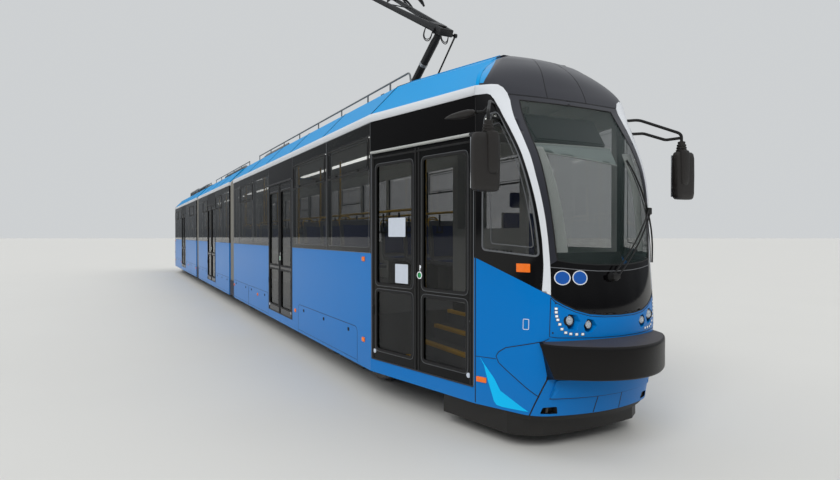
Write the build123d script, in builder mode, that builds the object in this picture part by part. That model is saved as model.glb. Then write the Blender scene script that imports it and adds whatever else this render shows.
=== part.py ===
"""A three-section articulated tram on four bogies.

Frame: origin at the vehicle's centre on the floor that the wheel flanges stand on, +X towards the
driver's cab, +Y to the left, +Z up. All sizes are in millimetres.
"""
import math
import os

from build123d import *

# Body
BODY_WIDTH = 2350
WALL = 60
SKIRT_Z = 300
BELT_Z = 1540
CORNICE_Z = 3000
STRIPE = 80
EAVES_Z = 3330
EAVES_Y = 860
DECK_Z = 3400
DECK_Y = 700
CEILING_Z = 3130
COVE = 130
GLASS = 12
PANE_GAP = 8
HALF = BODY_WIDTH / 2
BAND_TOP = CORNICE_Z - STRIPE

# Lengths along the vehicle, from its centre
PIVOT_X = 3300
GAP_HALF = 310
TAPER_X = 11770
CAB_X = 13280
CAB_Y = 845
CAB_EAVES_Y = 430
CAB_DECK_Y = 300
CAP_X = 13020

# Floors
HIGH_FLOOR_Z = 900
LOW_FLOOR_Z = 440
FLOOR_T = 80
STEP_T = 40
LOW_FLOOR_X = 1500
STEP_GOING = 280
CAB_FLOOR_X = 13560
CAB_FLOOR_Y = 640

# Doors
DOOR_Z = (440, 2570)
DOOR_T = 40
DOOR_GAP = 6
DOOR_LIP = 25
LEAF_STILE = 75
LEAF_GLASS_Z = ((550, 1160), (1230, 2450))
LEAF_GLASS_BACK = 14

# Places of the panes and doors along the body. Past the taper's start they are measured from it,
# along the tapered wall.
END_WINDOWS = ((3614, 4326), (4334, 5766), (5774, 7108), (8672, 10306), (10314, 11762))
MIDDLE_WINDOWS = ((782, 1886), (1894, 2986))
END_DOOR = (7120, 8660)
MIDDLE_DOOR = (-770, 770)
CAB_DOOR = (20, 1520)
WINDOW_Z = (1600, 2800)
MULLION = 45

# Running gear
BOGIE_X = 10200
WHEELBASE = 1800
TREAD_R = 327
FLANGE_R = 352
AXLE_R = 70
HUB_R = 130
RIM_R = 262
AXLE_Z = FLANGE_R
BACK_TO_BACK = 1370
RIM_W = 110
DISC_R = 190
RUNNING_FIT = 0.05
BEAM_Y = 500
BEAM_W = 140
BOLSTER_Z = 700
RING_R = 180
RING_T = 25
PIN_R = 80
PIN_TOP_Z = 800
TONGUE_T = 45
TONGUE_W = 440
BOSS_R = 300
DISC_FLOOR_R = 600
FLOOR_CLEARANCE = 10

# Pantograph: places in the vehicle's middle plane, as (x, z)
PAN_BASE = (10200, 3600)
PAN_KNEE = (11180, 4250)
PAN_HEAD = (9030, 5520)
PAN_ROD = (10625, 3600)
PAN_TAIL = 150
PAN_HEAD_W = 1650
PAN_BASE_Y = 330
PAN_HEAD_Y = 300
PAN_KNEE_Y = 75
INSULATOR_H = 90
ROD_Y = 140

# Nose: plan outlines, as height, corner x, corner y and centre x
NOSE = (
    (300, 13800, 640, 13940),
    (640, 13850, 650, 14040),
    (1050, 13870, 650, 14090),
    (1480, 13860, 625, 14040),
    (2330, 13735, 690, 13830),
    (2920, 13420, 745, 13470),
)
CAP = (
    (2920, 13420, 745, 13470),
    (3000, 13390, 735, 13440),
    (3330, 13130, 460, 13200),
    (3400, 13020, 300, 13060),
)
NOSE_CORNER_R = 60
NOSE_WALL = 45

os.makedirs("parts", exist_ok=True)

TAPER = (HALF - CAB_Y) / (CAB_X - TAPER_X)
TAPER_TURN = math.atan(TAPER)
ENDS = {"front": 1, "rear": -1}
SIDES = (-1, 1)


def save(name, *pieces):
    """Write a node: one piece, or several that don't touch."""
    part = pieces[0] if len(pieces) == 1 else Compound(children=list(pieces))
    part.label = name
    export_step(part, f"parts/{name}.step")


def for_end(part, sign):
    """The front's piece as it is, or mirrored about the vehicle's centre plane for the rear."""
    return part if sign == 1 else mirror(part, about=Plane.YZ)


def both_sides(piece):
    """A piece and its mirror image on the other side."""
    return [piece, mirror(piece, about=Plane.XZ)]


def side_y(x):
    """Outer half-width of the body at a place along it."""
    return HALF - max(0, abs(x) - TAPER_X) * TAPER


def block(x_span, y_span, z_span, mode=Mode.ADD):
    """A box given by its limits, in the builder that is open."""
    spans = (x_span, y_span, z_span)
    with Locations(tuple(sum(span) / 2 for span in spans)):
        Box(*(abs(span[1] - span[0]) for span in spans), mode=mode)


def box_piece(x_span, y_span, z_span):
    """A box given by its limits, as a piece of its own."""
    with BuildPart() as piece:
        block(x_span, y_span, z_span)
    return piece.part


def prism(plane, points, amount, both=False, grow=0):
    """A straight-sided piece: an outline of points on a plane, grown by a gap if asked, extruded."""
    with BuildPart() as piece:
        with BuildSketch(plane):
            with BuildLine():
                Polyline(*points, close=True)
            make_face()
            if grow:
                offset(amount=grow, kind=Kind.INTERSECTION, mode=Mode.REPLACE)
        extrude(amount=amount, both=both)
    return piece.part


def rod(start, end, radius):
    """A round bar between two points."""
    path = Vector(*end) - Vector(*start)
    with BuildPart() as bar:
        with BuildSketch(Plane(start, z_dir=path)):
            Circle(radius)
        extrude(amount=path.length)
    return bar.part


# Side walls, panes and doors

STRAIGHT = {side: Plane((0, side * HALF, 0), x_dir=(-side, 0, 0), z_dir=(0, side, 0)) for side in SIDES}
TAPERED = {
    side: Plane(
        (TAPER_X, side * HALF, 0),
        x_dir=(-side * math.cos(TAPER_TURN), math.sin(TAPER_TURN), 0),
        z_dir=(math.sin(TAPER_TURN), side * math.cos(TAPER_TURN), 0),
    )
    for side in SIDES
}


def panel(plane, span, z_span, depth, lift=0, mode=Mode.ADD):
    """A box behind a side plane, between two places along it and two heights."""
    forward = 1 if plane.x_dir.X > 0 else -1
    with BuildSketch(plane.offset(lift)) as area:
        with Locations((forward * sum(span) / 2, sum(z_span) / 2)):
            Rectangle(span[1] - span[0], z_span[1] - z_span[0])
    extrude(area.sketch, amount=-depth, mode=mode)


def side_wall(x0, x1, doors, windows, side):
    """A run of side wall: its glass band is set back by a pane's thickness, with openings behind it."""
    plan = [(x0, side_y(x0)), (x0, side_y(x0) - WALL), (x1, side_y(x1) - WALL), (x1, side_y(x1))]
    with BuildPart() as wall:
        with BuildSketch(Plane.XY.offset(SKIRT_Z)):
            with BuildLine():
                Polyline(*((x, side * y) for x, y in plan), close=True)
            make_face()
        extrude(amount=CORNICE_Z - SKIRT_Z)
        for span, plane in doors:
            panel(plane, span, DOOR_Z, DOOR_T + WALL, lift=WALL, mode=Mode.SUBTRACT)
            passage = (span[0] + DOOR_LIP, span[1] - DOOR_LIP)
            panel(plane, passage, (DOOR_Z[0], DOOR_Z[1] - DOOR_LIP), 3 * WALL, mode=Mode.SUBTRACT)
        for span, plane in windows:
            rebate = (span[0] - PANE_GAP / 2, span[1] + PANE_GAP / 2)
            panel(plane, rebate, (BELT_Z, BAND_TOP), GLASS + WALL, lift=WALL, mode=Mode.SUBTRACT)
            hole = (span[0] + MULLION, span[1] - MULLION)
            panel(plane, hole, WINDOW_Z, 3 * WALL, mode=Mode.SUBTRACT)
    return wall.part


def pane_pieces(windows):
    """The bonded panes of the glass band."""
    pieces = []
    for span, plane in windows:
        with BuildPart() as pane:
            panel(plane, span, (BELT_Z + PANE_GAP / 2, BAND_TOP - PANE_GAP / 2), GLASS)
        pieces.append(pane.part)
    return pieces


def door_pieces(doors):
    """Two leaves for each double door, as frames and their glass."""
    frames, glass = [], []
    z_span = (DOOR_Z[0] + DOOR_GAP, DOOR_Z[1] - DOOR_GAP)
    for span, plane in doors:
        middle = sum(span) / 2
        for leaf in ((span[0] + DOOR_GAP, middle - DOOR_GAP / 2), (middle + DOOR_GAP / 2, span[1] - DOOR_GAP)):
            light = (leaf[0] + LEAF_STILE, leaf[1] - LEAF_STILE)
            with BuildPart() as frame:
                panel(plane, leaf, z_span, DOOR_T)
                for light_z in LEAF_GLASS_Z:
                    panel(plane, light, light_z, 3 * DOOR_T, lift=DOOR_T, mode=Mode.SUBTRACT)
            frames.append(frame.part)
            for light_z in LEAF_GLASS_Z:
                with BuildPart() as pane:
                    panel(plane, light, light_z, GLASS, lift=-LEAF_GLASS_BACK)
                glass.append(pane.part)
    return frames, glass


SIDE_PLAN = {
    "end": {
        "runs": ((PIVOT_X + GAP_HALF, TAPER_X, STRAIGHT), (TAPER_X, CAB_X, TAPERED)),
        "doors": ((END_DOOR, STRAIGHT), (CAB_DOOR, TAPERED)),
        "windows": tuple((span, STRAIGHT) for span in END_WINDOWS),
        "door_side_off": ((END_DOOR, STRAIGHT), ((12, 1530), TAPERED)),
    },
    "middle": {
        "runs": ((-PIVOT_X + GAP_HALF, PIVOT_X - GAP_HALF, STRAIGHT),),
        "doors": ((MIDDLE_DOOR, STRAIGHT),),
        "windows": tuple((span, STRAIGHT) for span in MIDDLE_WINDOWS)
        + tuple(((-b, -a), STRAIGHT) for a, b in MIDDLE_WINDOWS),
        "door_side_off": ((MIDDLE_DOOR, STRAIGHT),),
    },
}


def side_nodes(plan):
    """Walls, glass and doors of one section, both sides."""
    walls, windows, doors = [], [], []
    for side in SIDES:
        here = [(span, planes[side]) for span, planes in plan["windows"]]
        openings = []
        if side == -1:
            openings = [(span, planes[side]) for span, planes in plan["doors"]]
        else:
            here += [(span, planes[side]) for span, planes in plan["door_side_off"]]
        for x0, x1, planes in plan["runs"]:
            cuts = [[cut for cut in kind if cut[1] is planes[side]] for kind in (openings, here)]
            walls.append(side_wall(x0, x1, *cuts, side))
        frames, glass = door_pieces(openings)
        doors += frames
        windows += pane_pieces(here) + glass
    return {"side_walls": walls, "windows": windows, "doors": doors}


for kind, pieces in side_nodes(SIDE_PLAN["middle"]).items():
    save(f"middle_{kind}", *pieces)
end_sides = side_nodes(SIDE_PLAN["end"])


# Roofs: sloping eaves and a flat deck outside, a coved ceiling inside

def roof_face(x, half, eaves_y, deck_y):
    """The cross-section of a roof at a place along the body."""
    outer = [(half, CORNICE_Z), (eaves_y, EAVES_Z), (deck_y, DECK_Z)]
    inner = [(half - WALL - COVE, CEILING_Z), (half - WALL, CORNICE_Z)]
    ring = outer + [(-y, z) for y, z in reversed(outer)] + [(-y, z) for y, z in reversed(inner)] + inner
    with BuildSketch(Plane((x, 0, 0), x_dir=(0, 1, 0), z_dir=(1, 0, 0))) as face:
        with BuildLine():
            Polyline(*ring, close=True)
        make_face()
    return face.sketch.faces()[0]


def seam_block(x_far):
    """The space on one side of the slanted seam between the roof and the cap."""
    points = [(x_far, 0), (CAB_X, 0), (CAB_X, CORNICE_Z), (CAP_X, EAVES_Z), (CAP_X, 4000), (x_far, 4000)]
    return prism(Plane.XZ, points, BODY_WIDTH, both=True)


with BuildPart() as end_roof:
    extrude(roof_face(PIVOT_X + GAP_HALF, HALF, EAVES_Y, DECK_Y), amount=TAPER_X - PIVOT_X - GAP_HALF)
    loft([roof_face(TAPER_X, HALF, EAVES_Y, DECK_Y), roof_face(CAB_X, CAB_Y, CAB_EAVES_Y, CAB_DECK_Y)],
         ruled=True)
    add(seam_block(0), mode=Mode.INTERSECT)
with BuildPart() as middle_roof:
    extrude(roof_face(-PIVOT_X + GAP_HALF, HALF, EAVES_Y, DECK_Y), amount=2 * (PIVOT_X - GAP_HALF))
save("middle_roof", middle_roof.part)
for end, sign in ENDS.items():
    save(f"{end}_roof", for_end(end_roof.part, sign))


# Nose: a shell lofted through plan outlines, split into its moulded pieces

def nose_face(row, x_back, y_back, inset):
    """Plan outline of the nose at one height: two raked sides, rounded corners and a bowed front."""
    z, corner_x, corner_y, centre_x = row
    corner_x -= inset
    corner_y -= inset
    centre_x -= inset
    y_back -= inset
    radius = max(NOSE_CORNER_R - inset, 15)
    with BuildSketch(Plane.XY.offset(z)) as face:
        with BuildLine():
            Polyline((corner_x, corner_y), (x_back, y_back), (x_back, -y_back), (corner_x, -corner_y))
            ThreePointArc((corner_x, -corner_y), (centre_x, 0), (corner_x, corner_y))
        make_face()
        fillet(face.vertices().group_by(Axis.X)[-1], radius)
    return face.sketch.faces()[0]


def nose_solid(rows, x_back, y_backs, inset=0):
    """The nose between the lowest and highest outline."""
    with BuildPart() as solid:
        loft([nose_face(row, x_back, y, inset) for row, y in zip(rows, y_backs)], ruled=True)
    return solid.part


NOSE_BACK = [CAB_Y] * len(NOSE)
nose = nose_solid(NOSE, CAB_X, NOSE_BACK)
nose_inside = nose_solid(NOSE, CAB_X - 1, NOSE_BACK, NOSE_WALL)
CAP_BACK_X = 12900
CAP_BACK = [side_y(CAP_BACK_X), side_y(CAP_BACK_X), 545, 380]
cap_solid = nose_solid(CAP, CAP_BACK_X, CAP_BACK)
CAP_IN = tuple((z - 60 if i else z - 5, x, y, c) for i, (z, x, y, c) in enumerate(CAP))
cap_inside = nose_solid(CAP_IN, CAP_BACK_X - 1, CAP_BACK, NOSE_WALL + 15)

# Outlines seen from the front, as (y, z), and from the side, as (x, z)
SCREEN = ((-565, 1490), (565, 1490), (655, 2330), (610, 2875), (-610, 2875), (-655, 2330))
CAB_LIGHT = ((13370, 1620), (13770, 1620), (13660, 2330), (13490, 2720), (13370, 2720))
VALANCE_HALF = 600
VALANCE_TOP_Z = 640
SCREEN_GAP = 5
SCREEN_LAP = 30
FRONT_VIEW = Plane((CAP_X, 0, 0), x_dir=(0, 1, 0), z_dir=(1, 0, 0))
FRONT_REACH = 2 * (max(row[3] for row in NOSE) - CAP_X)


glass_inside = nose_solid(NOSE, CAB_X - 1, NOSE_BACK, GLASS)
with BuildPart() as glass_layer:
    add(nose)
    add(glass_inside, mode=Mode.SUBTRACT)
openings = (
    (FRONT_VIEW, SCREEN, FRONT_REACH, False),
    (Plane.XZ, CAB_LIGHT, BODY_WIDTH, True),
)
valance_block = box_piece((13600, 14400), (-VALANCE_HALF, VALANCE_HALF), (SKIRT_Z, VALANCE_TOP_Z))

# Headlamps in six-sided wells: half-distance between each pair and their height
LAMPS = ((316, 1033), (450, 1070))
WELL_R = 66
WELL_SIDES = 6
WELL_WALL = 6
LAMP_R = 46
LAMP_T = 12
LAMP_DEPTH = 70
LAMP_SEAT = 45

with BuildPart() as mask:
    add(nose)
    add(nose_inside, mode=Mode.SUBTRACT)
    for plane, outline, amount, both in openings:
        rebate = glass_layer.part & prism(plane, outline, amount, both, grow=SCREEN_GAP)
        add(rebate, mode=Mode.SUBTRACT)
        add(prism(plane, outline, amount, both, grow=-SCREEN_LAP), mode=Mode.SUBTRACT)
    add(valance_block, mode=Mode.SUBTRACT)
    with BuildSketch(FRONT_VIEW):
        with Locations(*((side * y, z) for y, z in LAMPS for side in SIDES)):
            RegularPolygon(WELL_R, WELL_SIDES)
    extrude(amount=FRONT_REACH, mode=Mode.SUBTRACT)
with BuildPart() as valance:
    add(nose)
    add(nose_inside, mode=Mode.SUBTRACT)
    add(valance_block, mode=Mode.INTERSECT)
with BuildPart() as screen:
    add(glass_layer.part)
    add(prism(*openings[0]), mode=Mode.INTERSECT)
with BuildPart() as cab_lights:
    add(glass_layer.part)
    add(prism(*openings[1]), mode=Mode.INTERSECT)
with BuildPart() as cap:
    add(cap_solid)
    add(cap_inside, mode=Mode.SUBTRACT)
    add(seam_block(15000), mode=Mode.INTERSECT)

lamp_units = []
for side in SIDES:
    for y, z in LAMPS:
        with BuildPart() as unit:
            with BuildSketch(FRONT_VIEW):
                with Locations((side * y, z)):
                    RegularPolygon(WELL_R, WELL_SIDES)
            extrude(amount=FRONT_REACH)
            add(nose, mode=Mode.INTERSECT)
            face_x = unit.part.bounding_box().max.X
            behind = (FRONT_VIEW.origin.X, face_x - LAMP_DEPTH)
            block(behind, (-CAB_Y, CAB_Y), (z - 2 * WELL_R, z + 2 * WELL_R), mode=Mode.SUBTRACT)
            with BuildSketch(Plane((face_x - LAMP_SEAT, 0, 0), x_dir=(0, 1, 0), z_dir=(1, 0, 0))) as hollow:
                with Locations((side * y, z)):
                    RegularPolygon(WELL_R - WELL_WALL, WELL_SIDES)
            extrude(hollow.sketch, amount=2 * LAMP_DEPTH, mode=Mode.SUBTRACT)
            with BuildSketch(Plane((face_x - LAMP_SEAT, 0, 0), x_dir=(0, 1, 0), z_dir=(1, 0, 0))) as lens:
                with Locations((side * y, z)):
                    Circle(LAMP_R)
            extrude(lens.sketch, amount=LAMP_T)
        lamp_units.append(unit.part)

# Bumper: plan outlines round the nose, its ends leaning back and its top sloping down to the front
BUMPER_BACK_X = 13780
BUMPER = (
    # height, end x, end y, corner x, corner y, front x
    (600, 13888, 577, 13985, 588, 14262),
    (632, 13888, 577, 14012, 594, 14300),
    (862, 13880, 640, 14012, 600, 14300),
    (888, 13880, 646, 13990, 600, 14274),
    (920, 13880, 650, 13925, 612, 14110),
)


def bumper_face(row):
    """Plan outline of the bumper at one height, from inside the nose round its front."""
    z, end_x, end_y, corner_x, corner_y, front_x = row
    right = [(corner_x, corner_y), (end_x, end_y), (BUMPER_BACK_X, end_y)]
    with BuildSketch(Plane.XY.offset(z)) as face:
        with BuildLine():
            Polyline(*right, *((x, -y) for x, y in reversed(right)))
            ThreePointArc((corner_x, -corner_y), (front_x, 0), (corner_x, corner_y))
        make_face()
    return face.sketch.faces()[0]


with BuildPart() as bumper:
    loft([bumper_face(row) for row in BUMPER], ruled=True)
    add(nose, mode=Mode.SUBTRACT)

# Black skirt under the nose
UNDER_SKIRT = ((12800, 880), (13560, 720), (13660, 640), (13750, 500), (13790, 0))
UNDER_SKIRT_Z = (110, SKIRT_Z)
UNDER_SKIRT_T = 40
BELLY_INSET = 10


def skirt_ring(inset, x_back):
    """Plan outline of the skirt under the nose."""
    right = [(x_back, UNDER_SKIRT[0][1] - inset)] + [(x - inset, y - inset) for x, y in UNDER_SKIRT[1:-1]]
    right[0] = (x_back, right[0][1])
    centre = (UNDER_SKIRT[-1][0] - inset, 0)
    return right, centre


with BuildPart() as under_skirt:
    for inset, x_back, mode in ((0, UNDER_SKIRT[0][0], Mode.ADD), (UNDER_SKIRT_T, 12700, Mode.SUBTRACT)):
        right, centre = skirt_ring(inset, x_back)
        with BuildSketch(Plane.XY.offset(UNDER_SKIRT_Z[0])):
            with BuildLine():
                Polyline(*reversed(right), *((x, -y) for x, y in right))
                ThreePointArc((right[-1][0], -right[-1][1]), centre, right[-1])
            make_face()
        extrude(amount=UNDER_SKIRT_Z[1] - UNDER_SKIRT_Z[0], mode=mode)
    _, corner_x, corner_y, centre_x = NOSE[0]
    right = [(CAB_X + BELLY_INSET, CAB_Y - BELLY_INSET), (corner_x - NOSE_CORNER_R, corner_y - BELLY_INSET)]
    with BuildSketch(Plane.XY.offset(SKIRT_Z - UNDER_SKIRT_T)):
        with BuildLine():
            Polyline(*reversed(right), *((x, -y) for x, y in right))
            ThreePointArc((right[-1][0], -right[-1][1]), (centre_x - BELLY_INSET, 0), right[-1])
        make_face()
    extrude(amount=UNDER_SKIRT_T)

end_sides["windows"] += cab_lights.part.solids()
for end, sign in ENDS.items():
    for kind, pieces in end_sides.items():
        save(f"{end}_{kind}", *(for_end(piece, sign) for piece in pieces))
    save(f"{end}_mask", for_end(mask.part, sign))
    save(f"{end}_valance", for_end(valance.part, sign))
    save(f"{end}_screen", for_end(screen.part.solids()[0], sign))
    save(f"{end}_cap", for_end(cap.part, sign))
    save(f"{end}_bumper", for_end(bumper.part, sign))
    save(f"{end}_under_skirt", for_end(under_skirt.part, sign))


# Floors: a high floor over the bogies, steps down to the doors, pivots underneath
END_STAIRS = ((END_DOOR[0], END_DOOR[1], (800, 530, 260)), (11800, 13240, (600, 430, 260)))
RISE = (HIGH_FLOOR_Z - LOW_FLOOR_Z) / 3
PAD = (250, 430, 570)
SLAB_Z = HIGH_FLOOR_Z - FLOOR_T
JACOBS_BOSS_Z = BOLSTER_Z + RING_T + TONGUE_T


def floor_prism(z_span):
    """The inside of an end section's walls, between two heights."""
    inner = HALF - WALL
    right = [(PIVOT_X + GAP_HALF, inner), (TAPER_X, inner), (CAB_X, CAB_Y - WALL), (CAB_FLOOR_X, CAB_FLOOR_Y)]
    points = right + [(x, -y) for x, y in reversed(right)]
    return prism(Plane.XY.offset(z_span[0]), points, z_span[1] - z_span[0])


def pivot_boss(x, z0):
    """A boss under the floor with the bore that a bogie's pin turns in, and its side bearer pads."""
    with Locations((x, 0, (z0 + SLAB_Z) / 2)):
        Cylinder(BOSS_R, SLAB_Z - z0)
    with Locations((x, 0, (z0 + PIN_TOP_Z + 4) / 2)):
        Cylinder(PIN_R + RUNNING_FIT, PIN_TOP_Z + 4 - z0, mode=Mode.SUBTRACT)
    for side in SIDES:
        block((x - PAD[0], x + PAD[0]), (side * PAD[1], side * PAD[2]), (BOLSTER_Z + RING_T, SLAB_Z))


end_stairs = []
with BuildPart() as end_floor:
    add(floor_prism((SLAB_Z, HIGH_FLOOR_Z)))
    with Locations((PIVOT_X, 0, SLAB_Z + FLOOR_T / 2)):
        Cylinder(DISC_FLOOR_R + FLOOR_CLEARANCE, FLOOR_T, mode=Mode.SUBTRACT)
    for x0, x1, risers in END_STAIRS:
        block((x0, x1), (-HALF, -risers[-1]), (SLAB_Z, HIGH_FLOOR_Z), mode=Mode.SUBTRACT)
    pivot_boss(BOGIE_X, BOLSTER_Z + RING_T)
    block((PIVOT_X, 4400), (-TONGUE_W / 2, TONGUE_W / 2), (BOLSTER_Z + RING_T, JACOBS_BOSS_Z))
    block((4100, 4400), (-TONGUE_W / 2, TONGUE_W / 2), (JACOBS_BOSS_Z, SLAB_Z))
    with Locations((PIVOT_X, 0, BOLSTER_Z + RING_T + TONGUE_T / 2)):
        Cylinder(TONGUE_W / 2, TONGUE_T)
        Cylinder(PIN_R + RUNNING_FIT, TONGUE_T, mode=Mode.SUBTRACT)

for x0, x1, risers in END_STAIRS:
    tread = [(-HALF, LOW_FLOOR_Z)]
    for step, y in enumerate(risers):
        tread += [(-y, LOW_FLOOR_Z + step * RISE), (-y, LOW_FLOOR_Z + (step + 1) * RISE)]
    tread[-1] = (-risers[-1], HIGH_FLOOR_Z)
    under = [(y + STEP_T, z - STEP_T) for y, z in reversed(tread)]
    flight = prism(Plane((x0, 0, 0), x_dir=(0, 1, 0), z_dir=(1, 0, 0)), tread + under, x1 - x0)
    cheek_y = (-HALF, STEP_T - risers[-1])
    cheeks = box_piece((x0 - STEP_T, x1 + STEP_T), cheek_y, (LOW_FLOOR_Z - STEP_T, SLAB_Z))
    cheeks -= box_piece((x0, x1), (-HALF, 0), (0, SLAB_Z))
    stairs = (flight + cheeks) & floor_prism((0, HIGH_FLOOR_Z))
    end_stairs.append(stairs - end_floor.part)

UNDER_FLOOR_BOXES = (
    ((4760, 6900), (-880, 880)),
    ((7250, 8500), (-180, 880)),
    ((11950, 13200), (-180, 640)),
)
UNDER_BOX_Z = (330, SLAB_Z)
under_boxes = [box_piece(x_span, y_span, UNDER_BOX_Z) for x_span, y_span in UNDER_FLOOR_BOXES]

with BuildPart() as middle_floor:
    half = PIVOT_X - GAP_HALF
    top = [(0, LOW_FLOOR_Z)]
    bottom = [(0, LOW_FLOOR_Z - STEP_T)]
    for step in range(3):
        x = LOW_FLOOR_X + step * STEP_GOING
        z = LOW_FLOOR_Z + step * RISE
        top += [(x, z), (x, z + RISE)]
        bottom += [(x + STEP_T, z - STEP_T), (x + STEP_T, z + RISE - STEP_T)]
    bottom[-1] = (bottom[-1][0], SLAB_Z)
    run = top + [(half, HIGH_FLOOR_Z), (half, SLAB_Z)] + bottom[::-1]
    with BuildSketch(Plane.XZ):
        for sign in (-1, 1):
            with BuildLine():
                Polyline(*((sign * x, z) for x, z in run), close=True)
            make_face()
    extrude(amount=HALF - WALL, both=True)
    for sign in (-1, 1):
        with Locations((sign * PIVOT_X, 0, SLAB_Z + FLOOR_T / 2)):
            Cylinder(DISC_FLOOR_R, FLOOR_T)
    for sign in (-1, 1):
        pivot_boss(sign * PIVOT_X, JACOBS_BOSS_Z)
save("middle_floor", middle_floor.part)
for end, sign in ENDS.items():
    save(f"{end}_floor", *(for_end(piece, sign) for piece in [end_floor.part, *end_stairs]))


# Wheelsets and bogies
WHEEL_PLAN = (
    (0, AXLE_R), (BACK_TO_BACK / 2 + 15, AXLE_R), (BACK_TO_BACK / 2 + 15, HUB_R), (725, HUB_R),
    (725, RIM_R), (BACK_TO_BACK / 2, RIM_R), (BACK_TO_BACK / 2, FLANGE_R), (703, FLANGE_R),
    (718, TREAD_R), (BACK_TO_BACK / 2 + RIM_W, TREAD_R - 4), (BACK_TO_BACK / 2 + RIM_W, RIM_R),
    (755, RIM_R), (755, HUB_R), (800, HUB_R), (800, 0),
)
DISC_Y = (290, 330)
GEAR_Y = (220, 320)
GEAR_R = 195
MOTOR_X = WHEELBASE / 2 - 430
MOTOR_R = 170
MOTOR_Y = (-300, 220)


def wheelset(x, disc_side):
    """An axle with its two wheels and a brake disc, turned as one piece."""
    right = [(-y, AXLE_Z + r) for y, r in WHEEL_PLAN]
    left = [(y, AXLE_Z + r) for y, r in reversed(WHEEL_PLAN[:-1])]
    with BuildPart() as piece:
        with BuildSketch(Plane((x, 0, 0), x_dir=(0, 1, 0), z_dir=(1, 0, 0))):
            with BuildLine():
                Polyline(*right, (800, AXLE_Z), *left, close=True)
            make_face()
        revolve(axis=Axis((x, 0, AXLE_Z), (0, 1, 0)))
        with BuildSketch(Plane((x, disc_side * DISC_Y[0], AXLE_Z), z_dir=(0, disc_side, 0))):
            Circle(DISC_R)
        extrude(amount=DISC_Y[1] - DISC_Y[0])
    return piece.part


AXLE_BOX = 160
BEAM_Z = (290, 400, 480, 500, 610)
BEAM_END = WHEELBASE / 2 + AXLE_BOX
BEAM_FOOT = WHEELBASE / 2 - AXLE_BOX
BEAM_RISE = 500
BEAM_DROP = 260
BEAM_SIDE = [(BEAM_END, BEAM_Z[0]), (BEAM_END, BEAM_Z[3]), (BEAM_END - BEAM_RISE, BEAM_Z[4])]
BEAM_SIDE += [(-x, z) for x, z in reversed(BEAM_SIDE)]
BEAM_FEET = [(-BEAM_FOOT, BEAM_Z[0]), (-BEAM_FOOT, BEAM_Z[1]), (BEAM_DROP - BEAM_FOOT, BEAM_Z[2])]
BEAM_SIDE += BEAM_FEET + [(-x, z) for x, z in reversed(BEAM_FEET)]
BRAKE_X = 420
BRAKE_Y = (700, 800)
BRAKE_Z = (45, 145)
BRAKE_ARM_X = 300
BRAKE_ARM_HALF = 30
BRAKE_ARM_Y = (BRAKE_Y[0] + 30, BRAKE_Y[1] - 30)
BRAKE_ARM_Z = (480, 540)
COVER_ARM_X = 60
COVER_ARM_Z = (500, 560)
SIDE_BEARER_R = 90
COVER_INSET = 69
COVER_T = 18
COVER_Y = (HALF - COVER_INSET - COVER_T, HALF - COVER_INSET)
COVER_Z = (310, 630)
COVER_X = 280


def across(x, y0, y1, z, radius, mode=Mode.ADD):
    """A cylinder lying across the vehicle, in the builder that is open."""
    with BuildSketch(Plane((x, y0, z), z_dir=(0, 1, 0))) as end_face:
        Circle(radius)
    extrude(end_face.sketch, amount=y1 - y0, mode=mode)


def bogie(x0, powered):
    """A bogie's frame, bolster, pivot pin, springs and track brakes, with motors or side covers."""
    with BuildPart() as piece:
        for side in SIDES:
            y0 = side * BEAM_Y - BEAM_W / 2
            with BuildSketch(Plane((x0, y0, 0), x_dir=(1, 0, 0), z_dir=(0, 1, 0))) as beam:
                with BuildLine():
                    Polyline(*((x, -z) for x, z in BEAM_SIDE), close=True)
                make_face()
            extrude(beam.sketch, amount=BEAM_W)
        block((x0 - 220, x0 + 220), (-BEAM_Y, BEAM_Y), (400, BOLSTER_Z))
        with Locations((x0, 0, BOLSTER_Z + RING_T / 2)):
            Cylinder(RING_R, RING_T)
        with Locations((x0, 0, (BOLSTER_Z + PIN_TOP_Z) / 2)):
            Cylinder(PIN_R, PIN_TOP_Z - BOLSTER_Z)
        for side in SIDES:
            with Locations((x0, side * BEAM_Y, (BEAM_Z[4] + BOLSTER_Z + RING_T) / 2)):
                Cylinder(SIDE_BEARER_R, BOLSTER_Z + RING_T - BEAM_Z[4])
            brake_y = tuple(side * y for y in BRAKE_Y)
            block((x0 - BRAKE_X, x0 + BRAKE_X), brake_y, BRAKE_Z)
            for turn in (-1, 1):
                centre = x0 + turn * BRAKE_ARM_X
                x_span = (centre - BRAKE_ARM_HALF, centre + BRAKE_ARM_HALF)
                block(x_span, (side * BEAM_Y, side * BRAKE_ARM_Y[1]), BRAKE_ARM_Z)
                block(x_span, tuple(side * y for y in BRAKE_ARM_Y), (BRAKE_Z[1], BRAKE_ARM_Z[1]))
            if not powered:
                arm_x = (x0 - COVER_ARM_X, x0 + COVER_ARM_X)
                block(arm_x, (side * BEAM_Y, side * COVER_Y[0]), COVER_ARM_Z)
                block((x0 - COVER_X, x0 + COVER_X), (side * COVER_Y[0], side * COVER_Y[1]), COVER_Z)
        if powered:
            for turn in (-1, 1):
                spans = sorted(turn * y for y in MOTOR_Y)
                across(x0 + turn * MOTOR_X, spans[0], spans[1], 400, MOTOR_R)
                spans = sorted(turn * y for y in GEAR_Y)
                across(x0 + turn * WHEELBASE / 2, spans[0], spans[1], AXLE_Z, GEAR_R)
                block(sorted((x0 + turn * MOTOR_X, x0 + turn * WHEELBASE / 2)), spans, (300, 460))
                block(sorted((x0, x0 + turn * MOTOR_X)), (-120, 120), (440, 520))
        for turn in (-1, 1):
            across(x0 + turn * WHEELBASE / 2, -HALF, HALF, AXLE_Z, AXLE_R + RUNNING_FIT, Mode.SUBTRACT)
    return piece.part


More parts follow.
